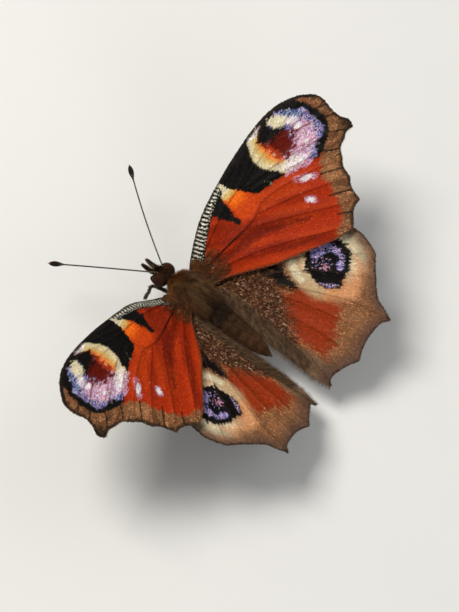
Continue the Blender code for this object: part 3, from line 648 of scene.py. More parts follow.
def forewing_black_marks(p):
    """Black patch at the front edge, dusted with cream at its hind end, and the cell bar."""
    p.patch(BLACK, [(9.9, 8.4), (10.0, 6.0), (10.3, 4.5), (11.1, 3.0), (11.9, 1.6), (12.7, 0.85),
            (14.3, 0.45), (16.0, 0.0), (16.9, -0.25), (16.5, 0.8), (15.9, 1.9), (15.4, 3.0), (15.4, 4.1),
            (16.0, 5.3), (16.9, 6.5), (17.4, 8.4)], 0.2, 0.3)
    dust = 0.5 * smooth_step(0.8, 1.0, mottle(p.spots, (0.22, 0.22), 31))
    p.cover(CREAM, dust * smooth_step(1.0, 0.4, np.linalg.norm((p.spots - (14.5, 1.1)) / (0.7, 1.2), axis=1)))
    p.patch(BLACK, [(5.2, 5.4), (5.5, 4.2), (6.0, 3.0), (6.4, 2.0), (6.8, 1.0), (7.1, 0.25), (7.5, 0.3),
            (7.65, 1.4), (7.95, 2.6), (8.3, 3.8), (8.8, 5.2), (9.0, 6.0), (7.0, 6.0)], 0.3, 0.35)


def forewing_stripes(p):
    """Black and cream cross stripes of the front edge, then the dusky root beside them."""
    u, v = p.spots.T
    line = [(-3.0, 0.4), (0.0, 1.15), (2.5, 2.55), (5.0, 3.85), (7.5, 4.75), (9.3, 5.2)]
    strip = line + [(9.2, 7.5), (4.0, 7.0), (-3.5, 4.5)]
    height = line_distance(p.spots, smooth_curve(line, 0.5))
    wave = 2.0 * math.pi * (u * 0.93 + v * 0.36 + 0.09 * mottle(p.spots, (0.6, 0.3), 9)) / STRIPE_PERIOD
    stripes = smooth_step(0.15, 0.4, np.sin(wave)) * smooth_step(0.3, 0.45, height)
    dashes = smooth_step(0.3, 0.6, np.sin(wave * 1.3)) * smooth_step(0.38, 0.3, height)
    dashes = dashes * smooth_step(0.08, 0.16, height)
    in_strip = p.share_in(strip, 0.12, 0.12)
    p.cover(BLACK, in_strip)
    p.cover(STRIPE_CREAM, in_strip * np.maximum(stripes, 0.6 * dashes) * smooth_step(-2.4, -1.4, u))
    clear = 1.0 - in_strip * smooth_step(-1.9, -0.7, u)
    p.cover(DARK_BROWN, clear * smooth_step(1.8, -0.8, u + 1.2 * mottle(p.spots, (0.4, 0.4), 3)))
    gold = smooth_step(2.4, 0.0, u) * smooth_step(0.55, 0.9, mottle(p.spots, (0.25, 0.18), 4))
    p.cover(GOLD_BROWN, clear * 0.6 * gold)


def forewing_lines(p):
    """Veins, folds and dark edges over the markings of a forewing."""
    for name, colour, strength in (("cell_rear", BLACK, 1.0), ("2a", DEEP_RED, 0.8), ("cua2", DEEP_RED, 0.55),
                                   ("cua1", DEEP_RED, 0.6), ("m3", DEEP_RED, 0.45), ("m1", MAROON, 0.55),
                                   ("m2", MAROON, 0.45), ("r5", MAROON, 0.55), ("radius", DEEP_RED, 0.5)):
        lit = smooth_step(0.02, 0.12, p.rgb.max(axis=1))
        if name == "cell_rear":
            lit = lit * (0.25 + 0.75 * smooth_step(9.0, 6.5, p.spots[:, 0]))
        p.streak(colour, FORE_VEINS[name][1], 0.18 if name == "cell_rear" else 0.12, 0.1, strength * lit)
    for line in ([(26.9, 2.3), (29.0, 1.1)], [(27.0, 0.4), (28.9, -1.0)], [(25.4, -1.3), (27.8, -3.4)],
                 [(23.0, -2.7), (25.0, -4.4)], [(20.2, -4.4), (23.3, -6.6)], [(18.5, -7.3), (21.4, -9.4)],
                 [(17.1, -9.9), (19.2, -11.7)]):
        p.streak(BLACK_BROWN, line, 0.24, 0.09, 0.95)
    some = smooth_step(0.55, 0.8, mottle(p.spots, (1.6, 1.6), 36)) * smooth_step(19.5, 18.0, p.spots[:, 0])
    for name in ("m3", "cua1", "cua2"):
        away = line_distance(p.spots, smooth_curve(FORE_VEINS[name][1], 0.5))
        fleck = smooth_step(0.86, 0.97, mottle(p.spots, (0.2, 0.2), 34)) * smooth_step(0.35, 0.1, away)
        p.cover((0.70, 0.34, 0.22), 0.8 * fleck * some)
    edge = np.vstack([smooth_curve(run, 0.6) for run in FORE_RUNS[:6]])
    away = line_distance(p.spots, edge)
    p.cover(BLACK_BROWN, 0.9 * smooth_step(0.75, 0.2, away + 0.3 * mottle(p.spots, (0.4, 0.4), 5)))
    hook = np.linalg.norm(p.spots - (28.9, -3.0), axis=1)
    p.cover(BLACK_BROWN, 0.9 * smooth_step(2.6, 0.9, hook + 0.6 * mottle(p.flow, (1.2, 0.2), 6)))
    away = line_distance(p.spots, smooth_curve(FORE_RUNS[6], 0.6))
    p.cover(DARK_BROWN, 0.5 * smooth_step(0.4, 0.0, away))


def painted(spots, grain, ground, fan, parts):
    """Colours of one face, its markings laid on in order."""
    p = Paint(spots, grain, ground, fan)
    for part in parts:
        part(p)
    return p.rgb


def forewing_upper(spots, grain):
    return painted(spots, grain, RED, FORE_FLOW, (
        forewing_ground, forewing_flare, forewing_margin, eyespot_field, eyespot_crescent, eyespot_centre,
        eyespot_front_edge, forewing_specks, forewing_black_marks, forewing_stripes, forewing_lines))


HIND_EYE = [(11.5, -6.4), (10.1, -7.6), (9.3, -9.1), (9.0, -11.0), (9.6, -12.6), (10.6, -13.7), (12.0, -13.4),
            (13.4, -13.0), (14.8, -12.3), (15.7, -11.1), (16.1, -9.3), (15.6, -7.4), (14.4, -6.0),
            (12.8, -5.6)]


def hindwing_ground(p):
    """Mixed browns with a grey front and the brick red middle."""
    p.speckle([(BROWN, 4), (TAN, 1.5), (OLIVE_BROWN, 1.5), (GREY_BROWN, 1)], [(-4, -25), (22, -25), (22, 5),
              (-4, 5)], 0.2, 0.0, 0.45)
    p.patch(GREY_BROWN, [(6.0, 4.0), (6.5, -3.0), (9.0, -4.0), (12.0, -3.4), (14.0, -2.4), (16.0, 4.0)], 1.5,
            0.3, 0.8)
    red = [(1.2, -17.6), (0.8, -14.5), (1.6, -11.5), (3.0, -8.4), (5.0, -7.2), (6.6, -9.2), (8.1, -12.0),
           (8.8, -14.0), (8.4, -15.5), (6.6, -16.2), (4.8, -17.4), (3.2, -18.2)]
    p.patch((0.27, 0.028, 0.004), red, 1.8, 1.6, 0.97)
    p.patch(BRIGHT_RED, [(1.6, -16.5), (3.0, -12.5), (5.2, -9.5), (7.6, -12.5), (7.2, -15.0), (4.0, -16.8)],
            1.5, 0.8, 0.12)


def hindwing_ring(p):
    """Pale ring round the eyespot, widest towards the outer edge."""
    u, v = p.spots.T
    ring = smooth_ring(HIND_EYE)
    gap = -depth_in(p.spots, ring)
    angle = np.arctan2(v + 10.0, u - 12.5)
    outer = smooth_step(0.0, 1.0, np.cos(angle + 0.45))
    width = 1.1 + 1.9 * outer
    pale = smooth_step(1.0, 0.55, (gap + 0.5 * mottle(p.spots, (0.5, 0.5), 21) - 0.25) / width)
    p.cover(TAN, 0.9 * smooth_step(1.5, 0.6, (gap + 0.4 * mottle(p.spots, (0.8, 0.8), 22)) / (width + 0.8)))
    left = smooth_step(12.0, 10.0, u) * smooth_step(-12.5, -9.5, v)
    p.cover(CREAM, pale * np.maximum(outer, 0.75 * left) * (0.7 + 0.3 * mottle(p.spots, (0.3, 0.3), 23)))
    inner = [(9.9, -4.4), (9.2, -5.8), (8.5, -7.0), (8.1, -8.5), (8.0, -10.2), (8.3, -11.6)]
    p.streak((0.52, 0.36, 0.20), inner, 1.9, 0.6, 0.85)
    p.streak((0.78, 0.70, 0.48), inner[:4], 1.0, 0.5, 0.9)
    p.patch(TAN, [(8.6, -12.4), (9.6, -14.2), (11.4, -14.6), (13.6, -14.0), (15.6, -12.9), (15.2, -15.0),
            (12.4, -16.2), (10.0, -16.0)], 1.2, 0.8, 0.75)
    # Painted light: this cream patch is brighter than the ring's own cream, set against the forewing's shadow
    # and the bend of the wing at the ring's front.
    p.patch((0.94, 0.80, 0.55), [(14.5, -4.4), (16.5, -4.9), (17.6, -7.0), (17.3, -9.6), (16.3, -9.6),
            (15.1, -6.2)], 0.9, 0.5, 0.95)


def hindwing_eyespot(p):
    """Black eyespot with its broken violet ring and the crescent at its hind edge."""
    p.patch(BLACK_BROWN, HIND_EYE, 0.8, 0.7)
    p.patch(BLACK, HIND_EYE, 0.4, 0.5)
    # Painted light: this violet mix is brighter than the wing's own violet, set against the forewing's shadow
    # on the top patch; the lower crescent takes the same mix.
    violet = [((0.33, 0.27, 0.60), 5), (LILAC, 2), (BLUE, 1.5), (BLACK, 2)]
    p.speckle(violet, [(12.0, -7.0), (13.8, -7.0), (14.9, -8.3), (14.8, -9.6), (14.3, -9.4), (13.6, -8.9),
              (12.6, -8.8), (11.3, -8.2)], 0.6, 0.8)
    p.speckle([(LILAC, 1.4), (VIOLET, 1.4), (PINK, 0.5), (BLACK, 13)], [(10.8, -8.2), (12.1, -8.5),
              (12.6, -9.8), (12.0, -10.8), (10.7, -10.2)], 0.9, 0.8, 0.8)
    p.speckle([(PINK, 3), (LILAC, 2), (BLACK, 3)], [(11.2, -9.8), (12.0, -9.9), (11.9, -10.6), (11.2, -10.5)],
              0.4, 0.4, 0.8)
    p.speckle(violet, [(14.2, -9.6), (14.9, -9.6), (14.7, -10.9), (13.8, -11.8), (12.8, -12.1), (12.2, -11.8),
              (13.1, -11.2), (14.1, -10.6)], 0.5, 0.6)
    p.speckle([(LILAC, 3), (VIOLET, 2.5), (BLACK, 1.5)], [(9.3, -10.9), (9.5, -11.4), (10.0, -12.3),
              (10.7, -12.95), (10.7, -13.2), (10.0, -12.9), (9.5, -12.1)], 0.3, 0.4, 0.9)


def hindwing_root(p):
    """Dark smudge inside the ring, then the speckled brown root."""
    p.patch(BLACK, [(4.4, -2.2), (8.0, -2.6), (7.8, -4.5), (7.4, -6.0), (7.0, -7.4), (6.8, -8.7), (6.2, -8.7),
            (5.4, -7.2), (4.7, -4.6)], 1.0, 0.6)
    root = [(-3.0, 4.0), (6.5, 4.0), (5.8, -2.5), (5.2, -5.5), (4.6, -8.0), (2.6, -10.5), (0.2, -13.5),
            (-3.0, -12.0)]
    p.patch((0.055, 0.020, 0.008), root, 2.2, 1.6)
    p.speckle([((0.10, 0.034, 0.013), 4), (GOLD_BROWN, 2.4), (BLACK_BROWN, 2.6), ((0.16, 0.03, 0.008), 1)],
              root, 3.0, 2.0, 0.8)


def hindwing_edges(p):
    """Greyer inner edge, dusky outer margin and faint veins."""
    p.patch(GREY_BROWN, [(-3.0, 3.0), (-0.6, 1.0), (-0.4, -8.0), (-0.1, -14.0), (-3.0, -16.0)], 1.2, 0.5, 0.7)
    p.patch((0.15, 0.10, 0.06), [(-3.0, -12.5), (0.2, -14.0), (0.6, -19.0), (-0.5, -23.0), (-3.0, -23.0)],
            1.0, 0.4, 0.8)
    margin = np.vstack([smooth_curve(run, 0.6) for run in [HIND_RUNS[0][5:]] + HIND_RUNS[1:6]])
    away = line_distance(p.spots, margin)
    dusk = 0.85 * smooth_step(3.2, 0.3, away + 0.9 * mottle(p.spots, (1.0, 1.0), 24) - 0.3)
    p.cover((0.10, 0.055, 0.038), dusk * smooth_step(-6.5, -10.0, p.spots[:, 1]))
    p.cover(BLACK_BROWN, 0.85 * smooth_step(0.5, 0.08, away + 0.3 * mottle(p.spots, (0.4, 0.4), 25)))
    for name in ("m1", "m2", "m3", "cua1", "cua2", "2a"):
        p.streak(DARK_BROWN, HIND_VEINS[name][1], 0.1, 0.1, 0.3)


def hindwing_upper(spots, grain):
    return painted(spots, grain, BROWN, HIND_FLOW, (
        hindwing_ground, hindwing_ring, hindwing_eyespot, hindwing_root, hindwing_edges))


def underside(spots, grain, fan, pale):
    """Blackish brown with fine wavy cross lines, a paler outer half and a dark middle band."""
    p = Paint(spots, grain, (0.020, 0.014, 0.010), FORE_FLOW)
    away = np.linalg.norm(spots - np.asarray(fan), axis=1)
    wander = 1.4 * mottle(spots, (1.2, 1.2), 41) + 0.5 * mottle(spots, (0.4, 0.4), 42)
    lines = smooth_step(0.35, 0.95, np.sin(2.0 * math.pi * (away + wander) / 0.62))
    p.cover((0.085, 0.058, 0.038), 0.55 * lines)
    outer = smooth_step(0.0, 2.0, away - pale + wander)
    p.cover((0.10, 0.066, 0.040), 0.6 * outer * (0.5 + 0.5 * mottle(spots, (0.3, 0.3), 43)))
    p.cover((0.008, 0.006, 0.005), 0.8 * smooth_step(0.9, 0.2, np.abs(away - pale + wander + 0.6)))
    return p


def forewing_lower(spots, grain):
    p = underside(spots, grain, (-4.0, 3.0), 18.5)
    u, v = spots.T
    strip = smooth_step(-0.5, 0.6, v - (2.6 + 0.33 * u - 0.007 * u * u))
    stripes = smooth_step(0.2, 0.8, np.sin(2.0 * math.pi * u / 0.5)) * smooth_step(12.0, 9.0, u)
    p.cover(CREAM, 0.45 * strip * stripes)
    p.patch((0.16, 0.11, 0.06), [(17.5, 6.8), (16.5, 3.0), (18.0, 0.2), (21.5, -1.6), (20.0, 1.5),
            (19.5, 5.0)], 1.2, 0.6, 0.6)
    p.spot((0.35, 0.28, 0.22), (22.5, 0.3), (0.25, 0.2), 0.5, 0.8)
    return p.rgb


def hindwing_lower(spots, grain):
    p = underside(spots, grain, (-5.0, 4.0), 17.0)
    p.spot((0.40, 0.34, 0.24), (6.6, -6.6), (0.28, 0.22), 0.5, 0.85)
    return p.rgb


FOREWING = WingForm("forewing", FORE_RUNS, FORE_VEINS, fore_middle, FORE_FLOW, forewing_upper, forewing_lower)
HINDWING = WingForm("hindwing", HIND_RUNS, HIND_VEINS, hind_middle, HIND_FLOW, hindwing_upper, hindwing_lower)
WINGS = (FOREWING, HINDWING)


# Materials


def nodes_of(name):
    """A new material's tree, with its Principled shader."""
    material = bpy.data.materials.new(name)
    material.use_nodes = True
    tree = material.node_tree
    return material, tree, tree.nodes["Principled BSDF"]


def add_node(tree, kind, links=None, **settings):
    """A node with its settings; each socket takes another node's output or a value."""
    node = tree.nodes.new(kind)
    for key, value in settings.items():
        setattr(node, key, value)
    for socket, source in (links or {}).items():
        if isinstance(source, bpy.types.NodeSocket):
            tree.links.new(source, node.inputs[socket])
        else:
            node.inputs[socket].default_value = source
    return node


def fine_noise(tree, scale, detail):
    """Noise on the object's own coordinates, so that it also stays put in an export."""
    place = tree.nodes.new("ShaderNodeTexCoord").outputs["Object"]
    noise = add_node(tree, "ShaderNodeTexNoise", {"Vector": place, "Scale": scale, "Detail": detail})
    return noise.outputs["Fac"]


def tinted(name, roughness, grain, contrast, bump, specular):
    """A finish whose colour is the mesh's own tint, varied and roughened at a fine scale."""
    material, tree, shader = nodes_of(name)
    tint = add_node(tree, "ShaderNodeAttribute", attribute_name="tint").outputs["Color"]
    noise = fine_noise(tree, grain / MM / 100.0, 4.0)
    spread = add_node(tree, "ShaderNodeMapRange", {"Value": noise, "From Min": 0.25, "From Max": 0.75,
                                                   "To Min": 1.0 - contrast, "To Max": 1.0 + contrast})
    shade = add_node(tree, "ShaderNodeVectorMath", {0: tint, "Scale": spread.outputs["Result"]},
                     operation="SCALE")
    relief = add_node(tree, "ShaderNodeBump", {"Strength": bump, "Distance": 0.02 * MM, "Height": noise})
    tree.links.new(shade.outputs["Vector"], shader.inputs["Base Color"])
    tree.links.new(relief.outputs["Normal"], shader.inputs["Normal"])
    shader.inputs["Roughness"].default_value = roughness
    shader.inputs["Specular IOR Level"].default_value = specular
    return material


FINISHES = {
    "wing_membrane": dict(roughness=0.75, grain=400.0, contrast=0.25, bump=0.4, specular=0.1),
    "wing_scales": dict(roughness=0.6, grain=900.0, contrast=0.18, bump=0.25, specular=0.1),
    "body_skin": dict(roughness=0.8, grain=300.0, contrast=0.4, bump=0.6, specular=0.15),
    "body_hair": dict(roughness=0.5, grain=500.0, contrast=0.25, bump=0.1, specular=0.2),
    "eye_facets": dict(roughness=0.35, grain=60.0, contrast=0.45, bump=0.05, specular=0.06),
    "feeler_horn": dict(roughness=0.6, grain=500.0, contrast=0.3, bump=0.5, specular=0.08),
    "leg_horn": dict(roughness=0.5, grain=500.0, contrast=0.35, bump=0.6, specular=0.25),
}


def finish(name):
    return bpy.data.materials.get(name) or tinted(name, **FINISHES[name])


# Meshes


def set_attribute(mesh, name, kind, values):
    attribute = mesh.attributes.new(name, kind, "POINT")
    field = {"FLOAT": "value", "FLOAT_VECTOR": "vector", "FLOAT_COLOR": "color"}[kind]
    attribute.data.foreach_set(field, np.ascontiguousarray(values, np.float32).ravel())


def with_alpha(colours):
    return np.column_stack([colours, np.ones(len(colours))])


def set_in_scene(name, data):
    """A new object of a mesh, lamp or camera, linked to the scene."""
    item = bpy.data.objects.new(name, data)
    bpy.context.scene.collection.objects.link(item)
    return item


def add_object(name, mesh, material):
    """A piece of the model: its mesh takes the piece's name and its finish."""
    mesh.name = name
    if material.name not in mesh.materials:
        mesh.materials.append(material)
    return set_in_scene(name, mesh)


def shaped(mesh, kind, values, tree=None):
    """The mesh that one modifier makes of another mesh; the modifier goes with its draft object."""
    source = set_in_scene(mesh.name, mesh)
    modifier = source.modifiers.new("shape", kind)
    if tree:
        modifier.node_group = tree
        inputs = {item.name: item.identifier for item in tree.interface.items_tree if item.in_out == "INPUT"}
        for title, value in values.items():
            modifier[inputs[title]] = value
    else:
        for key, value in values.items():
            setattr(modifier, key, value)
    depsgraph = bpy.context.evaluated_depsgraph_get()
    made = bpy.data.meshes.new_from_object(source.evaluated_get(depsgraph), preserve_all_data_layers=True,
                                           depsgraph=depsgraph)
    bpy.data.objects.remove(source, do_unlink=True)
    return made


def mesh_piece(name, verts, faces, tints, material, smooth=True):
    """A mesh object from millimetres on the floor's frame, its faces turned outwards."""
    mesh = bpy.data.meshes.new(name)
    mesh.from_pydata(np.asarray(verts) * MM, [], faces)
    bm = bmesh.new()
    bm.from_mesh(mesh)
    bmesh.ops.recalc_face_normals(bm, faces=bm.faces)
    bm.to_mesh(mesh)
    bm.free()
    set_attribute(mesh, "tint", "FLOAT_COLOR", with_alpha(np.asarray(tints)))
    mesh.polygons.foreach_set("use_smooth", np.full(len(mesh.polygons), smooth))
    return add_object(name, mesh, material)


def seat(piece, slot, *nodes):
    """Every piece rides on the one body, and a main piece stands for its nodes."""
    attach(piece, "root")
    if nodes:
        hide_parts(*nodes)
    return piece


class Clay:
    """Gathers tubes in millimetres, with a tint for each ring of points, into one mesh."""

    def __init__(self):
        self.verts = []
        self.faces = []
        self.tints = []

    def tube(self, path, radii, tints, sides=12, flat=1.0):
        path = np.asarray(path, float)
        count = len(path)
        radii = np.broadcast_to(np.asarray(radii, float), (count,))
        tints = np.broadcast_to(np.asarray(tints, float), (count, 3))
        way = unit(np.gradient(path, axis=0))
        across = unit(np.cross(way[0], (0.0, 0.0, 1.0) if abs(way[0][2]) < 0.9 else (0.0, 1.0, 0.0)))
        start = len(self.verts)
        angles = np.arange(sides) * 2.0 * math.pi / sides
        for i in range(count):
            across = unit(across - way[i] * (across @ way[i]))
            up = np.cross(across, way[i])
            for angle in angles:
                round_it = across * math.cos(angle) + up * flat * math.sin(angle)
                self.verts.append(path[i] + radii[i] * round_it)
                self.tints.append(tints[i])
        for i in range(count - 1):
            for j in range(sides):
                a = start + i * sides + j
                b = start + i * sides + (j + 1) % sides
                self.faces.append((a, b, b + sides, a + sides))
        caps = ((0, path[0] - way[0] * radii[0] * 0.5), (count - 1, path[-1] + way[-1] * radii[-1] * 0.5))
        for ring, tip in caps:
            centre = len(self.verts)
            self.verts.append(tip)
            self.tints.append(tints[ring])
            for j in range(sides):
                self.faces.append((start + ring * sides + j, start + ring * sides + (j + 1) % sides, centre))

    def piece(self, name, material, side=1):
        verts = mirrored(np.array(self.verts), side)
        return mesh_piece(name, verts, self.faces, self.tints, finish(material))


# Coat: one small form on each root


def read(tree, name, kind="FLOAT_VECTOR"):
    node = add_node(tree, "GeometryNodeInputNamedAttribute", {"Name": name}, data_type=kind)
    return node.outputs["Attribute"]


def hair_form(tree, segments=2):
    """A three-sided hair that tapers along Z from 0 to 1."""
    return add_node(tree, "GeometryNodeMeshCone",
                    {"Vertices": 3, "Side Segments": segments, "Radius Top": 0.0, "Radius Bottom": 0.5,
                     "Depth": 1.0}, fill_type="NONE")


def bristle_form(tree):
    """A short straight hair of three faces."""
    return hair_form(tree, 1)


def scale_form(tree):
    """A flat six-sided scale that stands along Z from 0 to 1."""
    disc = add_node(tree, "GeometryNodeMeshCircle", {"Vertices": 6, "Radius": 0.55}, fill_type="NGON")
    return add_node(tree, "GeometryNodeTransform",
                    {"Geometry": disc.outputs["Mesh"], "Rotation": (math.pi / 2, 0.0, 0.0),
                     "Translation": (0.0, 0.0, 0.5)})


def new_tree(name, **inputs):
    """A geometry tree with a Geometry input, the named inputs and their kinds, and a Geometry output."""
    tree = bpy.data.node_groups.new(name, "GeometryNodeTree")
    for title, kind in {"Geometry": "Geometry", **inputs}.items():
        tree.interface.new_socket(title.replace("_", " "), in_out="INPUT", socket_type="NodeSocket" + kind)
    tree.interface.new_socket("Geometry", in_out="OUTPUT", socket_type="NodeSocketGeometry")
    return tree, tree.nodes.new("NodeGroupInput").outputs


def end_tree(tree, geometry, material):
    """Set the material and hand the geometry out of the tree."""
    painted = add_node(tree, "GeometryNodeSetMaterial", {"Geometry": geometry, "Material": material})
    tree.links.new(painted.outputs[0], tree.nodes.new("NodeGroupOutput").inputs["Geometry"])
    return tree


def coat_tree(name, form):
    """Sets one form on each root, laid along the coat, and bends its tip with the root's bow."""
    tree, given = new_tree(name, Width="Float", Thickness="Float", Length="Float", Variation="Float",
                           Seed="Int", Material="Material")

    def math_node(operation, a, b):
        return add_node(tree, "ShaderNodeMath", {0: a, 1: b}, operation=operation).outputs[0]

    shape = form(tree)
    place = tree.nodes.new("GeometryNodeInputPosition").outputs[0]
    leaf = add_node(tree, "GeometryNodeStoreNamedAttribute",
                    {"Geometry": shape.outputs[0], "Name": "leaf", "Value": place},
                    data_type="FLOAT_VECTOR", domain="POINT")
    least = math_node("SUBTRACT", 1.0, given["Variation"])
    most = math_node("ADD", 1.0, given["Variation"])
    vary = add_node(tree, "FunctionNodeRandomValue", {2: least, 3: most, "Seed": given["Seed"]},
                    data_type="FLOAT")
    length = math_node("MULTIPLY", given["Length"], read(tree, "reach", "FLOAT"))
    length = math_node("MULTIPLY", length, vary.outputs[1])
    size = add_node(tree, "ShaderNodeCombineXYZ", {0: given["Width"], 1: given["Thickness"], 2: length})
    turn = add_node(tree, "FunctionNodeAxesToRotation", {0: read(tree, "lie"), 1: read(tree, "out")},
                    primary_axis="Z", secondary_axis="Y")
    set_on = add_node(tree, "GeometryNodeInstanceOnPoints",
                      {"Points": given["Geometry"], "Instance": leaf.outputs[0],
                       "Rotation": turn.outputs[0], "Scale": size.outputs[0]})
    real = add_node(tree, "GeometryNodeRealizeInstances", {"Geometry": set_on.outputs[0]})
    along = add_node(tree, "ShaderNodeSeparateXYZ", {0: read(tree, "leaf")})
    share = math_node("POWER", along.outputs[2], 2.0)
    bend = add_node(tree, "ShaderNodeVectorMath", {0: read(tree, "bow"), "Scale": share}, operation="SCALE")
    bent = add_node(tree, "GeometryNodeSetPosition", {"Geometry": real.outputs[0], "Offset": bend.outputs[0]})
    beside = math_node("MULTIPLY", along.outputs[0], BAKE_PATCH)
    above = math_node("MULTIPLY", math_node("SUBTRACT", along.outputs[2], 0.5), BAKE_PATCH)
    within = add_node(tree, "ShaderNodeCombineXYZ", {0: beside, 1: above})
    spot = add_node(tree, "ShaderNodeVectorMath", {0: read(tree, "root"), 1: within.outputs[0]},
                    operation="ADD")
    unwrap = add_node(tree, "GeometryNodeStoreNamedAttribute",
                      {"Geometry": bent.outputs[0], "Name": "OFBake", "Value": spot.outputs[0]},
                      data_type="FLOAT2", domain="CORNER")
    result = unwrap.outputs[0]
    for spare in ("leaf", "lie", "out", "bow", "reach", "root"):
        result = add_node(tree, "GeometryNodeRemoveAttribute", {"Geometry": result, "Name": spare}).outputs[0]
    return end_tree(tree, result, given["Material"])


COAT_FORMS = {"hairs": hair_form, "bristles": bristle_form, "scales": scale_form}


def grow(name, form, roots, size, material, seed):
    """Grow a coat piece on its roots. size is width, thickness, length and variation, in millimetres."""
    tree = bpy.data.node_groups.get(form) or coat_tree(form, COAT_FORMS[form])
    mesh = bpy.data.meshes.new(name + "_roots")
    mesh.vertices.add(len(roots["at"]))
    mesh.vertices.foreach_set("co", np.ascontiguousarray(roots["at"], np.float32).ravel())
    for key in ("lie", "out", "bow"):
        set_attribute(mesh, key, "FLOAT_VECTOR", roots[key])
    unwrap = np.column_stack([roots["unwrap"], np.zeros(len(roots["at"]))])
    set_attribute(mesh, "root", "FLOAT_VECTOR", unwrap)
    set_attribute(mesh, "reach", "FLOAT", roots["reach"])
    set_attribute(mesh, "tint", "FLOAT_COLOR", with_alpha(np.maximum(roots["tint"], 0.0)))
    values = dict(zip(("Width", "Thickness", "Length", "Variation"), size))
    grown = shaped(mesh, "NODES", {**values, "Seed": seed, "Material": finish(material)}, tree)
    grown.transform(Matrix.Scale(MM, 4))
    if not len(grown.polygons) or "OFBake" not in grown.uv_layers:
        raise RuntimeError(f"the coat piece {name} came out empty or without its unwrap")
    return add_object(name, grown, finish(material))


def mirror_roots(roots, side):
    """The same roots on the other side of the body."""
    return {key: mirrored(value, side) if key in ("at", "lie", "out", "bow") else value
            for key, value in roots.items()}


def bristle_coat(name, roots, side, size, seed, slot):
    """A coat of short hairs on roots of the left side, moved to the side asked for."""
    return seat(grow(name, "bristles", mirror_roots(roots, side), size, "body_hair", seed), slot)


# Wings


def spaced(points, kept, least):
    """One of the points in each cell of a grid, where none of the kept ones is near."""
    _, first = np.unique(np.floor(points / least), axis=0, return_index=True)
    points = points[np.sort(first)]
    tree = KDTree(len(kept))
    for i, spot in enumerate(kept):
        tree.insert((*spot, 0.0), i)
    tree.balance()
    clear = [tree.find((*spot, 0.0))[2] > least for spot in points]
    return points[clear]


def wing_lattice(form):
    """Flat points of the fine membrane: outline, rows along each vein, and a lattice between."""
    rows = []
    for _, line in form.veins:
        fine = smooth_curve(line, FINE_STEP)
        way = unit(np.gradient(fine, axis=0))
        across = np.column_stack([-way[:, 1], way[:, 0]])
        rows.extend(fine + across * shift for shift in (0.0, -0.11, 0.11, -0.24, 0.24))
    low, high = form.outline.min(axis=0), form.outline.max(axis=0)
    grid = np.array([(u + (i % 2) * FINE_STEP * 0.5, v)
                     for i, v in enumerate(np.arange(low[1], high[1], FINE_STEP * 0.87))
                     for u in np.arange(low[0], high[0], FINE_STEP)])
    kept = form.outline
    for points, least in ((np.vstack(rows), 0.07), (grid, 0.12)):
        points = points[inside(points, form.outline)]
        kept = np.vstack([kept, spaced(points, kept, least)])
    return kept


def membrane_sheet(form):
    """Flat points and triangles of a wing, with the points on its rim marked."""
    points = [Vector(p) for p in wing_lattice(form)]
    flat, _, faces, _, _, _ = delaunay_2d_cdt(points, [], [list(range(len(form.outline)))], 1, 1e-5)
    faces = np.array([face for face in faces if len(face) == 3])
    edges = np.sort(faces[:, [0, 1, 1, 2, 2, 0]].reshape(-1, 2), axis=1)
    single, count = np.unique(edges, axis=0, return_counts=True)
    rim = np.zeros(len(flat), bool)
    rim[single[count == 1].ravel()] = True
    return np.array([tuple(p) for p in flat]), faces, rim


def build_membrane(form, settings):
    flat, faces, rim = membrane_sheet(form)
    used = np.zeros(len(flat), bool)
    used[faces.ravel()] = True
    renumber = np.cumsum(used) - 1
    flat, rim, faces = flat[used], rim[used], renumber[faces]
    upper = form.surface(flat, 1, rim)
    lower = form.surface(flat[~rim], -1)
    below = np.where(rim, np.arange(len(flat)), len(flat) + np.cumsum(~rim) - 1)
    verts = np.vstack([upper, lower])
    triangles = np.vstack([faces, below[faces][:, ::-1]]).tolist()
    tints = np.vstack([form.faces[1](flat, None), form.faces[-1](flat[~rim], None)])
    for suffix, side in SIDES:
        piece = mesh_piece(f"{form.kind}_{suffix}_membrane", mirrored(verts, side), triangles,
                           tints * settings.depth_of_colour, finish("wing_membrane"))
        seat(piece, form.kind, f"{form.kind}_{suffix}")


def scale_rows(form, row, across, rng):
    """Roots of scales on arcs round a point behind the wing's root, as real scales lie in rows."""
    rings = np.linalg.norm(form.outline - form.fan, axis=1)
    angles = np.arctan2(*(form.outline - form.fan).T[::-1])
    spots = []
    for i, radius in enumerate(np.arange(rings.min(), rings.max(), row)):
        turn = np.arange(angles.min(), angles.max(), across / radius) + (i % 2) * 0.5 * across / radius
        spots.append(form.fan + radius * np.column_stack([np.cos(turn), np.sin(turn)]))
    spots = np.vstack(spots)
    spots += rng.uniform(-0.3, 0.3, spots.shape) * (row, across)
    return spots[inside(spots, form.outline)]


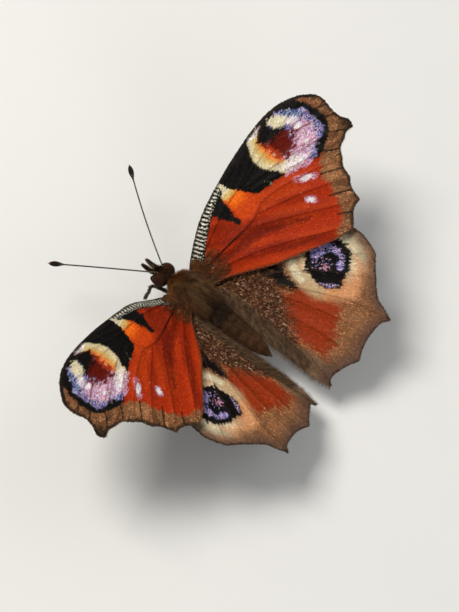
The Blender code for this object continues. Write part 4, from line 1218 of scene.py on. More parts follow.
def build_scales(form, settings):
    rng = np.random.default_rng(11 if form.kind == "forewing" else 12)
    for face, title, spread in ((1, "upper", 1.0), (-1, "lower", LOWER_SCALE_SPREAD)):
        row, across = settings.scale_row / MM * spread, settings.scale_pitch / MM * spread
        spots = scale_rows(form, row, across, rng)
        at, lie, out = form.fit(spots, face)
        count = len(spots)
        tint = form.faces[face](spots + rng.normal(0.0, 0.02, spots.shape), rng.random(count))
        tint = tint * rng.normal(1.0, 0.12, (count, 1)).clip(0.6, 1.5)
        shine = rng.random(count) < 0.03
        tint[shine] = tint[shine] * 1.5 + 0.01
        lie = unit(lie + out * rng.uniform(0.05, 0.2, (count, 1)) + rng.normal(0.0, 0.08, (count, 3)))
        out = unit(out + rng.normal(0.0, 0.12, (count, 3)))
        roots = {"at": at + out * 0.004, "lie": lie, "out": out, "tint": tint,
                 "bow": -out * rng.uniform(0.0, 0.03, (count, 1)),
                 "reach": rng.uniform(0.9, 1.15, count), "unwrap": form.bake_place(spots, face)}
        size = (across * SCALE_WIDTH, 0.2, row * SCALE_LENGTH, 0.1)
        for suffix, side in SIDES:
            piece = grow(f"{form.kind}_{suffix}_scales_{title}", "scales", mirror_roots(roots, side), size,
                         "wing_scales", 5)
            seat(piece, form.kind)


# Body


def blob(bm, centre, half, power=2.0, detail=4):
    """A closed superellipsoid."""
    ball = bmesh.ops.create_icosphere(bm, subdivisions=detail, radius=1.0)
    for vert in ball["verts"]:
        way = vert.co.normalized()
        vert.co = Vector(centre) + way * reach(way, half, power)


def abdomen_radius(along):
    """Radius of the abdomen from its waist (0) to its tip (1), ringed by its segments."""
    taper = 1.0 - 0.3 * np.maximum(0.0, along - 0.35) ** 1.2
    waist = np.sqrt(np.maximum(0.0, 1.0 - np.maximum(0.0, 1.0 - along / 0.2) ** 2))
    tip = np.sqrt(np.maximum(0.0, 1.0 - np.maximum(0.0, (along - 0.5) / 0.5) ** 2.2))
    step = (along * ABDOMEN_SEGMENTS) % 1.0
    return ABDOMEN_RADIUS * taper * waist * tip * (0.96 + 0.06 * step)


def abdomen_blob(bm, coat, rings=96, sides=48):
    rows = []
    angles = np.arange(sides) * 2.0 * math.pi / sides
    for share in np.linspace(0.0, 1.0, rings)[1:-1]:
        radius = max(0.05, float(abdomen_radius(share)) - coat)
        y = ABDOMEN_FRONT + coat + (ABDOMEN_REAR - ABDOMEN_FRONT - 2.0 * coat) * share
        z = ABDOMEN_AXIS[0] + (ABDOMEN_AXIS[1] - ABDOMEN_AXIS[0]) * share
        rows.append([bm.verts.new((radius * math.cos(a), y, z + radius * math.sin(a))) for a in angles])
    for low, high in zip(rows, rows[1:]):
        for i in range(sides):
            bm.faces.new((low[i], low[(i + 1) % sides], high[(i + 1) % sides], high[i]))
    bm.faces.new(rows[0])
    bm.faces.new(rows[-1][::-1])


def body_skin_form():
    """Thorax, head, abdomen, neck, waist and wing-root lobes as one smooth closed skin."""
    bm = bmesh.new()
    blob(bm, THORAX_CENTRE, THORAX_HALF - THORAX_COAT, THORAX_POWER)
    blob(bm, HEAD_CENTRE, HEAD_HALF - HEAD_COAT)
    blob(bm, (0.0, -3.0, -2.6), (0.75, 1.2, 0.95), detail=3)
    blob(bm, (0.0, 4.5, -1.75), (1.35, 1.8, 1.2), detail=3)
    abdomen_blob(bm, ABDOMEN_COAT)
    lobe = fore_middle(np.array([(-1.1, 1.3)]))[0] + (0.0, 0.0, 0.15)
    for _, side in SIDES:
        blob(bm, lobe * (side, 1.0, 1.0), (0.75, 1.35, 0.42), detail=3)
    bmesh.ops.recalc_face_normals(bm, faces=bm.faces)
    draft = bpy.data.meshes.new("skin_draft")
    bm.to_mesh(draft)
    bm.free()
    bm = bmesh.new()
    bm.from_mesh(shaped(draft, "REMESH", {"mode": "VOXEL", "voxel_size": SKIN_VOXEL}))
    for _ in range(3):
        bmesh.ops.smooth_vert(bm, verts=bm.verts, factor=0.5, use_axis_x=True, use_axis_y=True,
                              use_axis_z=True)
    verts = np.array([tuple(vert.co) for vert in bm.verts])
    faces = [[vert.index for vert in face.verts] for face in bm.faces]
    bm.free()
    return verts, faces


def body_tint(points):
    """Colours of the body and of its hair, from points of the body frame."""
    x, y, z = points.T
    p = Paint(points[:, :2], None, HAIR_BROWN)
    p.cover(HAIR_RUST, smooth_step(-1.4, -3.0, y) * smooth_step(-4.0, -3.4, y))
    p.cover(HAIR_RUST, 0.75 * smooth_step(1.2, 2.4, np.abs(x)) * smooth_step(3.4, 1.6, y))
    gold = smooth_step(0.55, 0.85, mottle(points[:, :2], (0.5, 1.1), 51)) * smooth_step(4.4, 2.5, y)
    p.cover(HAIR_GOLD, 0.4 * gold)
    p.cover(HAIR_DARK, 0.85 * smooth_step(2.2, 4.0, y) * smooth_step(1.9, 1.2, np.abs(x)))
    p.cover(HAIR_GOLD, 0.25 * smooth_step(1.0, 0.3, np.hypot(np.abs(x) - 1.45, (y - 3.0) * 0.7)))
    rear = smooth_step(5.8, 7.4, y)
    p.cover(HAIR_BROWN, rear)
    p.cover((0.095, 0.040, 0.015), smooth_step(9.0, 11.5, y))
    along = (y - ABDOMEN_FRONT) / (ABDOMEN_REAR - ABDOMEN_FRONT)
    rings = smooth_step(0.55, 0.95, (along * ABDOMEN_SEGMENTS) % 1.0)
    p.cover(HAIR_DARK, 0.5 * rear * rings)
    p.cover(HAIR_DARK, 0.7 * smooth_step(14.3, 15.3, y))
    head = smooth_step(-3.2, -3.7, y)
    p.cover((0.034, 0.016, 0.006), head)
    p.cover(HAIR_GOLD, 0.35 * head * smooth_step(0.6, 0.9, mottle(points[:, :2], (0.3, 0.3), 52)))
    p.cover(HAIR_GREY, 0.8 * smooth_step(-2.4, -3.6, z - 0.2 * head))
    return p.rgb


def body_unwrap(points):
    """Cylindrical unwrap of the body round its long axis."""
    turn = np.arctan2(points[:, 0], points[:, 2] + 1.9) / (2.0 * math.pi) + 0.5
    along = (points[:, 1] + 7.0) / (ABDOMEN_REAR + 7.5)
    return np.column_stack([0.01 + 0.98 * turn, 0.01 + 0.98 * along])


def surface_of(piece):
    """Points, in the body frame, and triangles of a finished piece."""
    mesh = piece.data
    mesh.calc_loop_triangles()
    verts = np.empty(len(mesh.vertices) * 3, np.float32)
    mesh.vertices.foreach_get("co", verts)
    triangles = np.empty(len(mesh.loop_triangles) * 3, np.int32)
    mesh.loop_triangles.foreach_get("vertices", triangles)
    return to_body(verts.reshape(-1, 3) / MM), triangles.reshape(-1, 3)


def scattered(verts, triangles, count, rng):
    """Random spots on triangles, even by area, with their normals."""
    a, b, c = (verts[triangles[:, i]] for i in range(3))
    across = np.cross(b - a, c - a)
    area = np.linalg.norm(across, axis=1)
    pick = rng.choice(len(triangles), count, p=area / area.sum())
    r, s = rng.random((2, count, 1))
    over = r + s > 1.0
    r, s = np.where(over, 1.0 - r, r), np.where(over, 1.0 - s, s)
    return a[pick] + r * (b - a)[pick] + s * (c - a)[pick], unit(across[pick])


def along_path(path, radii, count, rng):
    """Random spots round a tube: places, normals, the way along it and the share of its length."""
    path = np.asarray(path, float)
    radii = np.broadcast_to(np.asarray(radii, float), (len(path),))
    pieces = np.diff(path, axis=0)
    ends = np.concatenate([[0.0], np.cumsum(np.linalg.norm(pieces, axis=1))])
    spot = rng.random(count) * ends[-1]
    i = np.clip(np.searchsorted(ends, spot) - 1, 0, len(pieces) - 1)
    t = ((spot - ends[i]) / (ends[i + 1] - ends[i]))[:, None]
    way = unit(pieces[i])
    side = unit(np.cross(way, rng.normal(size=(count, 3))))
    radius = radii[i, None] * (1.0 - t) + radii[i + 1, None] * t
    return path[i] + pieces[i] * t + side * radius * 0.92, side, way, spot / ends[-1]


def tube_unwrap(side, share):
    turn = np.arctan2(side[:, 2], side[:, 0]) / (2.0 * math.pi) + 0.5
    return np.column_stack([0.01 + 0.98 * turn, 0.01 + 0.98 * share])


def fur(at, normal, way, lift, tint, unwrap, rng, clump=0.5, lock=24, droop=0.0, reach_share=1.0, stray=0.12):
    """Roots of fur on the floor's frame: laid along way, raised by lift, tips drawn into locks."""
    count = len(at)
    flat = unit(way - normal * (way * normal).sum(axis=1, keepdims=True))
    lie = unit(flat + normal * np.reshape(lift, (-1, 1)) + rng.normal(0.0, stray, at.shape))
    guides = at[::lock]
    tree = KDTree(len(guides))
    for i, spot in enumerate(guides):
        tree.insert(spot, i)
    tree.balance()
    near = np.array([tree.find(spot)[1] for spot in at])
    bow = (guides[near] - at) * clump - normal * droop
    shade = rng.normal(1.0, 0.26, len(guides))[near] * rng.normal(1.0, 0.28, count)
    return {"at": at, "lie": lie, "out": unit(np.cross(lie, rng.normal(size=at.shape))), "bow": bow,
            "reach": np.broadcast_to(reach_share, (count,)) * rng.uniform(0.8, 1.15, count),
            "tint": tint * shade.clip(0.45, 1.8)[:, None], "unwrap": unwrap}


def on_floor_frame(roots):
    """Roots from the body frame to the floor's frame."""
    moved = {key: turn_to_floor(roots[key]) for key in ("lie", "out", "bow")}
    return {**roots, **moved, "at": to_floor(roots["at"])}


def build_body_skin():
    verts, faces = body_skin_form()
    piece = mesh_piece("body_skin", to_floor(verts), faces, body_tint(verts) * 0.6, finish("body_skin"))
    seat(piece, "body", "thorax", "head", "abdomen")


def build_body_coat(settings):
    rng = np.random.default_rng(21)
    verts, triangles = surface_of(bpy.data.objects["body_skin"])
    middle = verts[triangles].mean(axis=1)
    in_head = middle[:, 1] < -3.25
    in_abdomen = middle[:, 1] > 4.9
    in_thorax = ~in_head & ~in_abdomen
    parts = (("thorax_fur", in_thorax, settings.thorax_hairs, settings.thorax_hair_length, 0.034),
             ("abdomen_fur", in_abdomen, settings.abdomen_hairs, settings.abdomen_hair_length, 0.036),
             ("head_fur", in_head, settings.head_hairs, settings.head_hair_length, 0.028))
    for name, chosen, count, length, width in parts:
        at, normal = scattered(verts, triangles[chosen], count, rng)
        eye = np.linalg.norm((np.abs(at * (1, 0, 0)) + at * (0, 1, 1) - EYE_CENTRE) / EYE_HALF, axis=1)
        at, normal = at[eye > 1.02], normal[eye > 1.02]
        x, y, z = at.T
        way = np.tile((0.0, 1.0, 0.0), (len(at), 1))
        way[:, 0] = 0.25 * np.sign(x) * smooth_step(0.0, 1.5, np.abs(x))
        way[:, 2] = -0.35 * smooth_step(-1.0, -3.0, z)
        if name == "thorax_fur":
            lift = 0.40 + 0.5 * smooth_step(-1.5, -3.2, y) + rng.uniform(0.0, 0.25, len(at))
            share = 1.0 - 0.35 * smooth_step(-1.5, -3.0, y) + 0.25 * smooth_step(1.5, 3.5, y)
            clump, droop = 0.55, 0.10
        elif name == "abdomen_fur":
            lift = 0.16 + rng.uniform(0.0, 0.22, len(at))
            share = 1.0 + 0.5 * smooth_step(8.0, 5.0, y)
            clump, droop = 0.5, 0.06
        else:
            front = smooth_step(-4.6, -5.4, y)
            way[:, 0] = 0.9 * np.sign(x) * smooth_step(0.1, 0.6, np.abs(x)) * smooth_step(-3.4, -2.2, z)
            way[:, 1] = 1.0 - 1.6 * front
            way[:, 2] = 0.9 * front
            lift = 0.75 + rng.uniform(0.0, 0.4, len(at))
            share = 1.0 + 0.3 * front
            clump, droop = 0.5, 0.04
        tint = body_tint(at + rng.normal(0.0, 0.12, at.shape))
        roots = fur(at, normal, way, lift, tint, body_unwrap(at), rng, clump=clump, droop=droop,
                    reach_share=share)
        piece = grow(name, "hairs", on_floor_frame(roots), (width, width, length / MM, 0.2), "body_hair", 3)
        seat(piece, "body")


# Eyes


def facet_tree():
    """A ball of domed six-sided facets, stretched to the eye's half sizes."""
    tree, given = new_tree("facets", Half_Size="Vector", Subdivisions="Int", Dome="Float",
                           Material="Material")
    ball = add_node(tree, "GeometryNodeMeshIcoSphere", {"Radius": 1.0, "Subdivisions": given["Subdivisions"]})
    cells = add_node(tree, "GeometryNodeDualMesh", {"Mesh": ball.outputs["Mesh"]})
    dome = add_node(tree, "GeometryNodeExtrudeMesh", {"Mesh": cells.outputs[0], "Offset Scale": given["Dome"],
                    "Individual": True}, mode="FACES")
    tops = add_node(tree, "GeometryNodeScaleElements",
                    {"Geometry": dome.outputs["Mesh"], "Selection": dome.outputs["Top"], "Scale": 0.55})
    sized = add_node(tree, "GeometryNodeTransform", {"Geometry": tops.outputs[0],
                     "Scale": given["Half Size"]})
    real = add_node(tree, "GeometryNodeRealizeInstances", {"Geometry": sized.outputs[0]})
    return end_tree(tree, real.outputs[0], given["Material"])


def faceted_ball():
    """Points and faces of the faceted eye, round its own centre."""
    mesh = shaped(bpy.data.meshes.new("eye_draft"), "NODES", {
        "Half Size": tuple(EYE_HALF), "Subdivisions": FACET_STEPS, "Dome": FACET_DOME,
        "Material": finish("eye_facets")}, facet_tree())
    verts = np.array([tuple(vert.co) for vert in mesh.vertices])
    faces = [list(face.vertices) for face in mesh.polygons]
    if not faces:
        raise RuntimeError("the eye came out empty")
    return verts, faces


def build_eyes():
    verts, faces = faceted_ball()
    # Painted light: dusk makes the eyes' tint lighter towards their top and darker below.
    dusk = smooth_step(-0.9, 0.9, verts[:, 2])[:, None]
    tints = np.array((0.014, 0.005, 0.002)) + dusk * np.array((0.018, 0.006, 0.002))
    rng = np.random.default_rng(35)
    way = unit(rng.normal(size=(EYE_HAIRS, 3)))
    normal = unit(way / EYE_HALF)
    turn = np.arctan2(way[:, 1], way[:, 0]) / (2.0 * math.pi) + 0.5
    place = np.column_stack([turn, 0.5 + 0.49 * way[:, 2]])
    back = np.tile((0.0, 1.0, 0.0), (EYE_HAIRS, 1))
    tint = np.tile((0.040, 0.017, 0.007), (EYE_HAIRS, 1))
    coat = fur(EYE_CENTRE + way * EYE_HALF, normal, back, 1.2, tint, place, rng, clump=0.1)
    roots = on_floor_frame(coat)
    for suffix, side in SIDES:
        centre = EYE_CENTRE * (side, 1.0, 1.0)
        piece = mesh_piece("eye_" + suffix + "_facets", to_floor(centre + mirrored(verts, side)),
                           faces, tints, finish("eye_facets"), smooth=False)
        seat(piece, "eye", "eye_" + suffix)
        bristle_coat("eye_" + suffix + "_hair", roots, side, (0.018, 0.018, 0.17, 0.3), 9, "eye")


# Feelers, palps and tongue


def antenna_path(count):
    start = HEAD_CENTRE + ANTENNA_ROOT_WAY * reach(ANTENNA_ROOT_WAY, HEAD_HALF) * 0.82
    share = np.linspace(0.0, 1.0, count)[:, None]
    return start + (ANTENNA_TIP - start) * share + ANTENNA_BOW * np.sin(math.pi * share), share[:, 0]


def build_antennae():
    """Ringed shafts with pale bands and a black club with an ochre tip."""
    path, share = antenna_path(400)
    length = float(np.linalg.norm(path[-1] - path[0]))
    ring = (share * length / FEELER_RING_PITCH) % 1.0
    club = smooth_step(1.0 - CLUB_LENGTH / length, 1.0 - 0.45 * CLUB_LENGTH / length, share)
    radii = 0.105 + 0.30 * club + 0.05 * smooth_step(0.02, 0.0, share)
    radii *= 0.93 + 0.10 * np.sin(math.pi * ring) * (1.0 - 0.6 * club)
    radii *= np.sqrt(np.maximum(0.02, 1.0 - smooth_step(0.93, 1.0, share) ** 1.5))
    tints = np.tile(HORN_BLACK, (len(share), 1))
    pale = smooth_step(0.72, 0.85, ring) * (1.0 - club) * 0.8
    tints += (np.array(BAND_PALE) - tints) * pale[:, None]
    tints += (np.array(CLUB_TIP) - tints) * smooth_step(0.978, 0.992, share)[:, None]
    for suffix, side in SIDES:
        clay = Clay()
        clay.tube(to_floor(path), radii, tints, sides=14)
        seat(clay.piece("antenna_" + suffix + "_shaft", "feeler_horn", side), "feeler", "antenna_" + suffix)


def palp_path():
    start = HEAD_CENTRE + PALP_ROOT_WAY * reach(PALP_ROOT_WAY, HEAD_HALF) * 0.85
    middle = (start + PALP_TIP) * 0.5 - (0.0, 0.0, 0.12)
    return smooth_curve([start, middle, PALP_TIP - (0.0, -0.3, 0.0), PALP_TIP], 0.08)


def build_palps():
    rng = np.random.default_rng(31)
    path = palp_path()
    share = np.linspace(0.0, 1.0, len(path))
    radii = 0.22 * np.sqrt(np.maximum(0.1, 1.0 - np.maximum(0.0, share - 0.55) ** 2 / 0.22)) + 0.02
    at, side, way, spot = along_path(path, radii, PALP_HAIRS, rng)
    tint = np.where((side[:, 0] < -0.3)[:, None], (0.16, 0.11, 0.065), (0.030, 0.015, 0.006))
    tint = np.where((spot > 0.86)[:, None], (0.11, 0.07, 0.035), tint)
    lift = 0.4 + 0.25 * np.maximum(0.0, side[:, 2])
    roots = on_floor_frame(fur(at, side, way, lift, tint, tube_unwrap(side, spot), rng, clump=0.35,
                               reach_share=1.35 - 0.9 * spot))
    for suffix, sign in SIDES:
        clay = Clay()
        clay.tube(to_floor(path), radii, (0.03, 0.015, 0.006), sides=14)
        seat(clay.piece("palp_" + suffix + "_core", "body_skin", sign), "body", "palp_" + suffix)
        bristle_coat("palp_" + suffix + "_fur", roots, sign, (0.03, 0.03, 0.42, 0.2), 4, "body")


def build_tongue():
    """The tongue coiled under the head, a pair of ringed half tubes side by side."""
    top = HEAD_CENTRE[2] - HEAD_HALF[2] - 0.3
    centre = np.array((0.0, HEAD_CENTRE[1] - 0.35, top - TONGUE_COIL - TONGUE_RADIUS))
    share = np.linspace(0.0, 1.0, 420)
    turn = math.pi * 0.5 - 2.0 * math.pi * TONGUE_TURNS * share
    radius = TONGUE_COIL + 0.1 + (TONGUE_HEART - TONGUE_COIL) * share
    path = centre + np.column_stack([np.zeros_like(share), radius * np.cos(turn), radius * np.sin(turn)])
    lead = np.linspace(HEAD_CENTRE - (0.0, 0.2, 0.9), path[0], 12)[:-1]
    path = np.vstack([lead, path])
    share = np.concatenate([np.zeros(len(lead)), share])
    clay = Clay()
    radii = (0.115 - 0.05 * share) * (1.0 + 0.06 * np.sin(share * 620.0))
    for shift in (-0.07, 0.07):
        clay.tube(to_floor(path + (shift, 0.0, 0.0)), radii, (0.035, 0.018, 0.008), sides=10)
    seat(clay.piece("tongue_coil", "feeler_horn"), "feeler", "proboscis")


# Legs


def leg_start(way):
    """Where a leg leaves the thorax, a little inside its coat."""
    way = np.asarray(way, float)
    return THORAX_CENTRE + way * reach(way, THORAX_HALF - THORAX_COAT, THORAX_POWER) * 0.92


def walking_leg(kind):
    """Femur, tibia and five foot joints, with claws, on the floor's frame; the foot rests on it."""
    way, (knee, ankle, toe_start, toe_end) = WALKING_LEGS[kind]
    start = to_floor(leg_start(way))
    knee, ankle = np.array(knee) + SHIFT, np.array(ankle) + SHIFT
    heel = np.array((*toe_start, FOOT_HEIGHT)) + SHIFT
    toe = np.array((*toe_end, FOOT_HEIGHT)) + SHIFT
    clay = Clay()
    share = np.linspace(0.0, 1.0, 24)
    femur = start + np.outer(share, knee - start)
    femur_radii = 0.20 + 0.16 * np.sin(math.pi * np.clip(share * 1.05, 0.0, 1.0)) ** 0.6
    tibia_line = smooth_curve([knee, (knee + ankle) * 0.5, ankle, heel], 0.15)
    tibia_share = np.linspace(0.0, 1.0, len(tibia_line))
    tibia_radii = 0.20 - 0.05 * tibia_share - 0.04 * smooth_step(0.94, 1.0, tibia_share)
    clay.tube(femur, femur_radii, HORN_BLACK, sides=14)
    tones = np.array(HORN_BLACK) + np.outer(tibia_share, np.array(HORN_BROWN) - HORN_BLACK)
    clay.tube(tibia_line, tibia_radii, tones, sides=14)
    cuts = (0.0, 0.42, 0.60, 0.75, 0.88, 1.0)
    for low, high in zip(cuts, cuts[1:]):
        part = np.linspace(0.0, 1.0, 8)
        line = heel + np.outer(low + (high - low) * part, toe - heel)
        radii = 0.095 + 0.035 * part ** 2
        line[:, 2] = radii
        clay.tube(line, radii, HORN_BROWN, sides=12)
    forward = unit(toe - heel)
    beside = np.cross((0.0, 0.0, 1.0), forward)
    for turn in (-1.0, 1.0):
        hook = [toe, toe + forward * 0.18 + beside * turn * 0.10 + (0, 0, 0.04),
                toe + forward * 0.34 + beside * turn * 0.17 - (0, 0, 0.09)]
        claw = smooth_curve(hook, 0.05)
        claw_radii = np.linspace(0.035, 0.012, len(claw))
        claw[:, 2] = np.maximum(claw[:, 2], claw_radii)
        clay.tube(claw, claw_radii, HORN_BLACK, sides=8)
    line = np.vstack([femur, tibia_line[1:]])
    return clay, line, np.concatenate([femur_radii, tibia_radii[1:]]), heel, toe


def leg_hairs(line, radii, heel, toe, rng):
    """Close hairs on the leg and stiff spines on the shin and foot."""
    at, side, way, spot = along_path(line, radii, LEG_HAIRS, rng)
    shade = np.where((rng.random(len(at)) < 0.25)[:, None], HAIR_GOLD, HORN_BROWN)
    coat = fur(at, side, way, 0.22, shade, tube_unwrap(side, spot), rng, clump=0.2,
               reach_share=1.0 + 0.9 * smooth_step(0.5, 0.1, spot))
    foot = np.linspace(heel, toe, 12)
    at, side, way, spot = along_path(foot, 0.11, FOOT_SPINES, rng)
    keep = side[:, 2] > 0.35
    spines = fur(at[keep], side[keep], way[keep], 0.5, np.tile(HORN_BLACK, (keep.sum(), 1)),
                 tube_unwrap(side[keep], spot[keep]), rng, clump=0.0, reach_share=0.7)
    roots = {key: np.concatenate([coat[key], spines[key]]) for key in coat}
    tips = roots["at"] + roots["lie"] * 0.4 * roots["reach"][:, None] + roots["bow"]
    clear = (tips[:, 2] > 0.04) & (roots["at"][:, 2] > 0.04)
    return {key: value[clear] for key, value in roots.items()}


def build_walking_legs():
    rng = np.random.default_rng(41)
    for kind in WALKING_LEGS:
        clay, line, radii, heel, toe = walking_leg(kind)
        roots = leg_hairs(line, radii, heel, toe, rng)
        for suffix, side in SIDES:
            name = f"{kind}_{suffix}"
            seat(clay.piece(name + "_shaft", "leg_horn", side), "leg", name)
            bristle_coat(name + "_hair", roots, side, (0.028, 0.028, 0.26, 0.3), 6, "leg")


def build_forelegs():
    """The short front legs are held up as brushes."""
    rng = np.random.default_rng(43)
    path = smooth_curve([leg_start(FORELEG_WAY)] + FORELEG_POINTS, 0.12)
    share = np.linspace(0.0, 1.0, len(path))
    radii = 0.20 - 0.08 * share
    at, side, way, spot = along_path(path, radii, FORELEG_HAIRS, rng)
    tint = np.where((rng.random(len(at)) < 0.3)[:, None], (0.16, 0.12, 0.08), HAIR_GREY)
    roots = on_floor_frame(fur(at, side, way, 0.4, tint, tube_unwrap(side, spot), rng, clump=0.4))
    for suffix, sign in SIDES:
        clay = Clay()
        clay.tube(to_floor(path), radii, HORN_BROWN, sides=12)
        seat(clay.piece(f"foreleg_{suffix}_shaft", "leg_horn", sign), "leg", "foreleg_" + suffix)
        bristle_coat(f"foreleg_{suffix}_fur", roots, sign, (0.028, 0.028, 0.5, 0.25), 7, "leg")


# Wing hair and fringes


def wing_fur(form, spots, way, lift, length, palette, rng, dots=0.0, **settings):
    """Roots of hair on the upper face of a wing, laid along flat directions, its colours mixed in dots."""
    at, lie, out = form.fit(spots, 1, way)
    colours = np.array([colour for colour, _ in palette])
    weights = np.array([weight for _, weight in palette], float)
    toss = mottle(spots, (dots, dots), 62) + 0.1 * rng.random(len(spots)) if dots else rng.random(len(spots))
    rank = np.argsort(np.argsort(toss)) / len(spots)
    tint = colours[np.searchsorted(np.cumsum(weights / weights.sum()), rank).clip(0, len(colours) - 1)]
    return fur(at, out, lie, lift, tint, form.bake_place(spots, 1), rng, reach_share=length, **settings)


def spots_in(ring, count, rng, outline):
    """Random flat spots inside a ring and inside the wing."""
    ring = np.asarray(ring, float)
    low, high = ring.min(axis=0), ring.max(axis=0)
    spots = low + rng.random((count * 4, 2)) * (high - low)
    spots = spots[inside(spots, smooth_ring(ring)) & (depth_in(spots, outline) > 0.12)]
    return spots[:count]


def fringe_roots(form, runs, length, palette, rng):
    """Hairs that stand out from the wing's edge along the given runs."""
    lines = []
    for run in runs:
        line = smooth_curve(run, 0.035)
        way = unit(np.gradient(line, axis=0))
        lines.append(np.column_stack([line, -way[:, 1], way[:, 0]]))
    lines = np.repeat(np.vstack(lines), 2, axis=0)
    spots, way = lines[:, :2], lines[:, 2:]
    spots = spots - way * rng.uniform(0.04, 0.12, (len(spots), 1)) + rng.normal(0.0, 0.015, spots.shape)
    way = unit(way + 0.35 * unit(spots - form.fan))
    lift = rng.uniform(-0.12, 0.12, len(spots))
    return wing_fur(form, spots, way, lift, length, palette, rng, clump=0.2, lock=9)


def build_wing_hair(settings):
    rng = np.random.default_rng(61)
    gold = [((0.016, 0.007, 0.004), 5), ((0.07, 0.028, 0.012), 2.4), ((0.36, 0.17, 0.08), 1.9),
            ((0.75, 0.52, 0.34), 1.0)]
    base = [(-1.2, 1.0), (3.0, 1.6), (6.2, 0.8), (5.6, -3.0), (5.0, -5.5), (4.2, -8.2), (2.4, -10.2),
            (0.6, -11.5), (-1.6, -9.0)]
    spots = spots_in(base, settings.base_hairs, rng, HINDWING.outline)
    way = unit(spots - (-3.5, 6.0))
    hind = wing_fur(HINDWING, spots, way, 0.45, 0.55, gold, rng, dots=0.19, clump=0.1, lock=8)
    edge = [(-1.5, 0.6), (0.6, 0.2), (0.9, -6.0), (0.6, -12.0), (-0.4, -17.0), (-1.9, -16.0)]
    spots = spots_in(edge, settings.edge_hairs, rng, HINDWING.outline)
    way = unit(np.tile((-0.35, -1.0), (len(spots), 1)))
    brown = [(HAIR_BROWN, 3), ((0.10, 0.045, 0.02), 3), (HAIR_GOLD, 1.6), ((0.16, 0.12, 0.08), 2)]
    inner = wing_fur(HINDWING, spots, way, 0.35, 1.9, brown, rng, clump=0.5, lock=18)
    rim = [(GREY_BROWN, 3), (DARK_BROWN, 3), ((0.22, 0.15, 0.10), 1)]
    hind_rim = fringe_roots(HINDWING, [HIND_RUNS[0][4:]] + HIND_RUNS[1:6], 0.7, rim, rng)
    hind_inner_rim = fringe_roots(HINDWING, HIND_RUNS[6:], 1.6, brown, rng)
    root = [(-1.8, 0.6), (-0.4, 0.9), (0.8, 1.4), (1.9, 1.4), (2.5, 0.2), (2.2, -1.7), (1.0, -2.9),
            (-1.8, -1.4)]
    spots = spots_in(root, settings.root_hairs, rng, FOREWING.outline)
    way = unit(spots - (-5.0, 0.8))
    share = 1.0 - 0.55 * smooth_step(0.0, 2.4, spots[:, 0])
    rust = [(HAIR_RUST, 4), ((0.10, 0.034, 0.008), 3), (DARK_BROWN, 2), (HAIR_GOLD, 1.2),
            ((0.40, 0.28, 0.16), 0.5)]
    fore = wing_fur(FOREWING, spots, way, 0.3, share * 1.1, rust, rng, dots=0.19, clump=0.3, lock=10)
    fore_rim = fringe_roots(FOREWING, FORE_RUNS[1:6], 0.7, rim, rng)
    red_rim = [(BROWN, 2), (DARK_BROWN, 3), (DEEP_RED, 2)]
    fore_inner_rim = fringe_roots(FOREWING, FORE_RUNS[6:], 0.6, red_rim, rng)
    costa = fringe_roots(FOREWING, [FORE_RUNS[0][4:]], 0.35, [(BLACK_BROWN, 3), (DARK_BROWN, 1)], rng)
    groups = (("hindwing", "base_hair", (hind, inner), 0.048),
              ("hindwing", "fringe", (hind_rim, hind_inner_rim), 0.045),
              ("forewing", "base_hair", (fore,), 0.034),
              ("forewing", "fringe", (fore_rim, fore_inner_rim, costa), 0.045))
    for kind, title, parts, width in groups:
        roots = {key: np.concatenate([part[key] for part in parts]) for key in parts[0]}
        for suffix, side in SIDES:
            size = (width, width * 0.6, settings.hair_length / MM, 0.25)
            bristle_coat(f"{kind}_{suffix}_{title}", roots, side, size, 8, kind)


# Operators and settings


class WingSettings(bpy.types.PropertyGroup):
    scale_row: FloatProperty(name="Scale row", description="Distance between two rows of wing scales",
                             default=0.13 * MM, min=0.05 * MM, unit="LENGTH", precision=6)
    scale_pitch: FloatProperty(name="Scale pitch", description="Distance between two scales in a row",
                               default=0.11 * MM, min=0.04 * MM, unit="LENGTH", precision=6)
    depth_of_colour: FloatProperty(name="Membrane colour",
                                   description="Colour of the membrane as a share of its scales'",
                                   default=0.8, min=0.0, max=1.0, subtype="FACTOR")
    hair_length: FloatProperty(name="Wing hair", description="Length of the hair on the wing roots",
                               default=0.55 * MM, min=0.1 * MM, unit="LENGTH", precision=6)
    base_hairs: IntProperty(name="Hindwing root hairs", description="Hairs on the root of each hindwing",
                            default=9000, min=100, max=20000)
    edge_hairs: IntProperty(name="Inner edge hairs",
                            description="Hairs along the inner edge of each hindwing", default=4500, min=100,
                            max=20000)
    root_hairs: IntProperty(name="Forewing root hairs", description="Hairs on the root of each forewing",
                            default=3000, min=100, max=20000)


class CoatSettings(bpy.types.PropertyGroup):
    thorax_hairs: IntProperty(name="Thorax hairs", description="Number of hairs on the thorax", default=21000,
                              min=100, max=22000)
    thorax_hair_length: FloatProperty(name="Thorax hair", description="Length of the hair on the thorax",
                                      default=1.15 * MM, min=0.1 * MM, unit="LENGTH", precision=6)
    abdomen_hairs: IntProperty(name="Abdomen hairs", description="Number of hairs on the abdomen",
                               default=21000, min=100, max=22000)
    abdomen_hair_length: FloatProperty(name="Abdomen hair", description="Length of the hair on the abdomen",
                                       default=0.7 * MM, min=0.1 * MM, unit="LENGTH", precision=6)
    head_hairs: IntProperty(name="Head hairs", description="Number of hairs on the head", default=9000,
                            min=100, max=22000)
    head_hair_length: FloatProperty(name="Head hair", description="Length of the hair on the head",
                                    default=0.56 * MM, min=0.05 * MM, unit="LENGTH", precision=6)


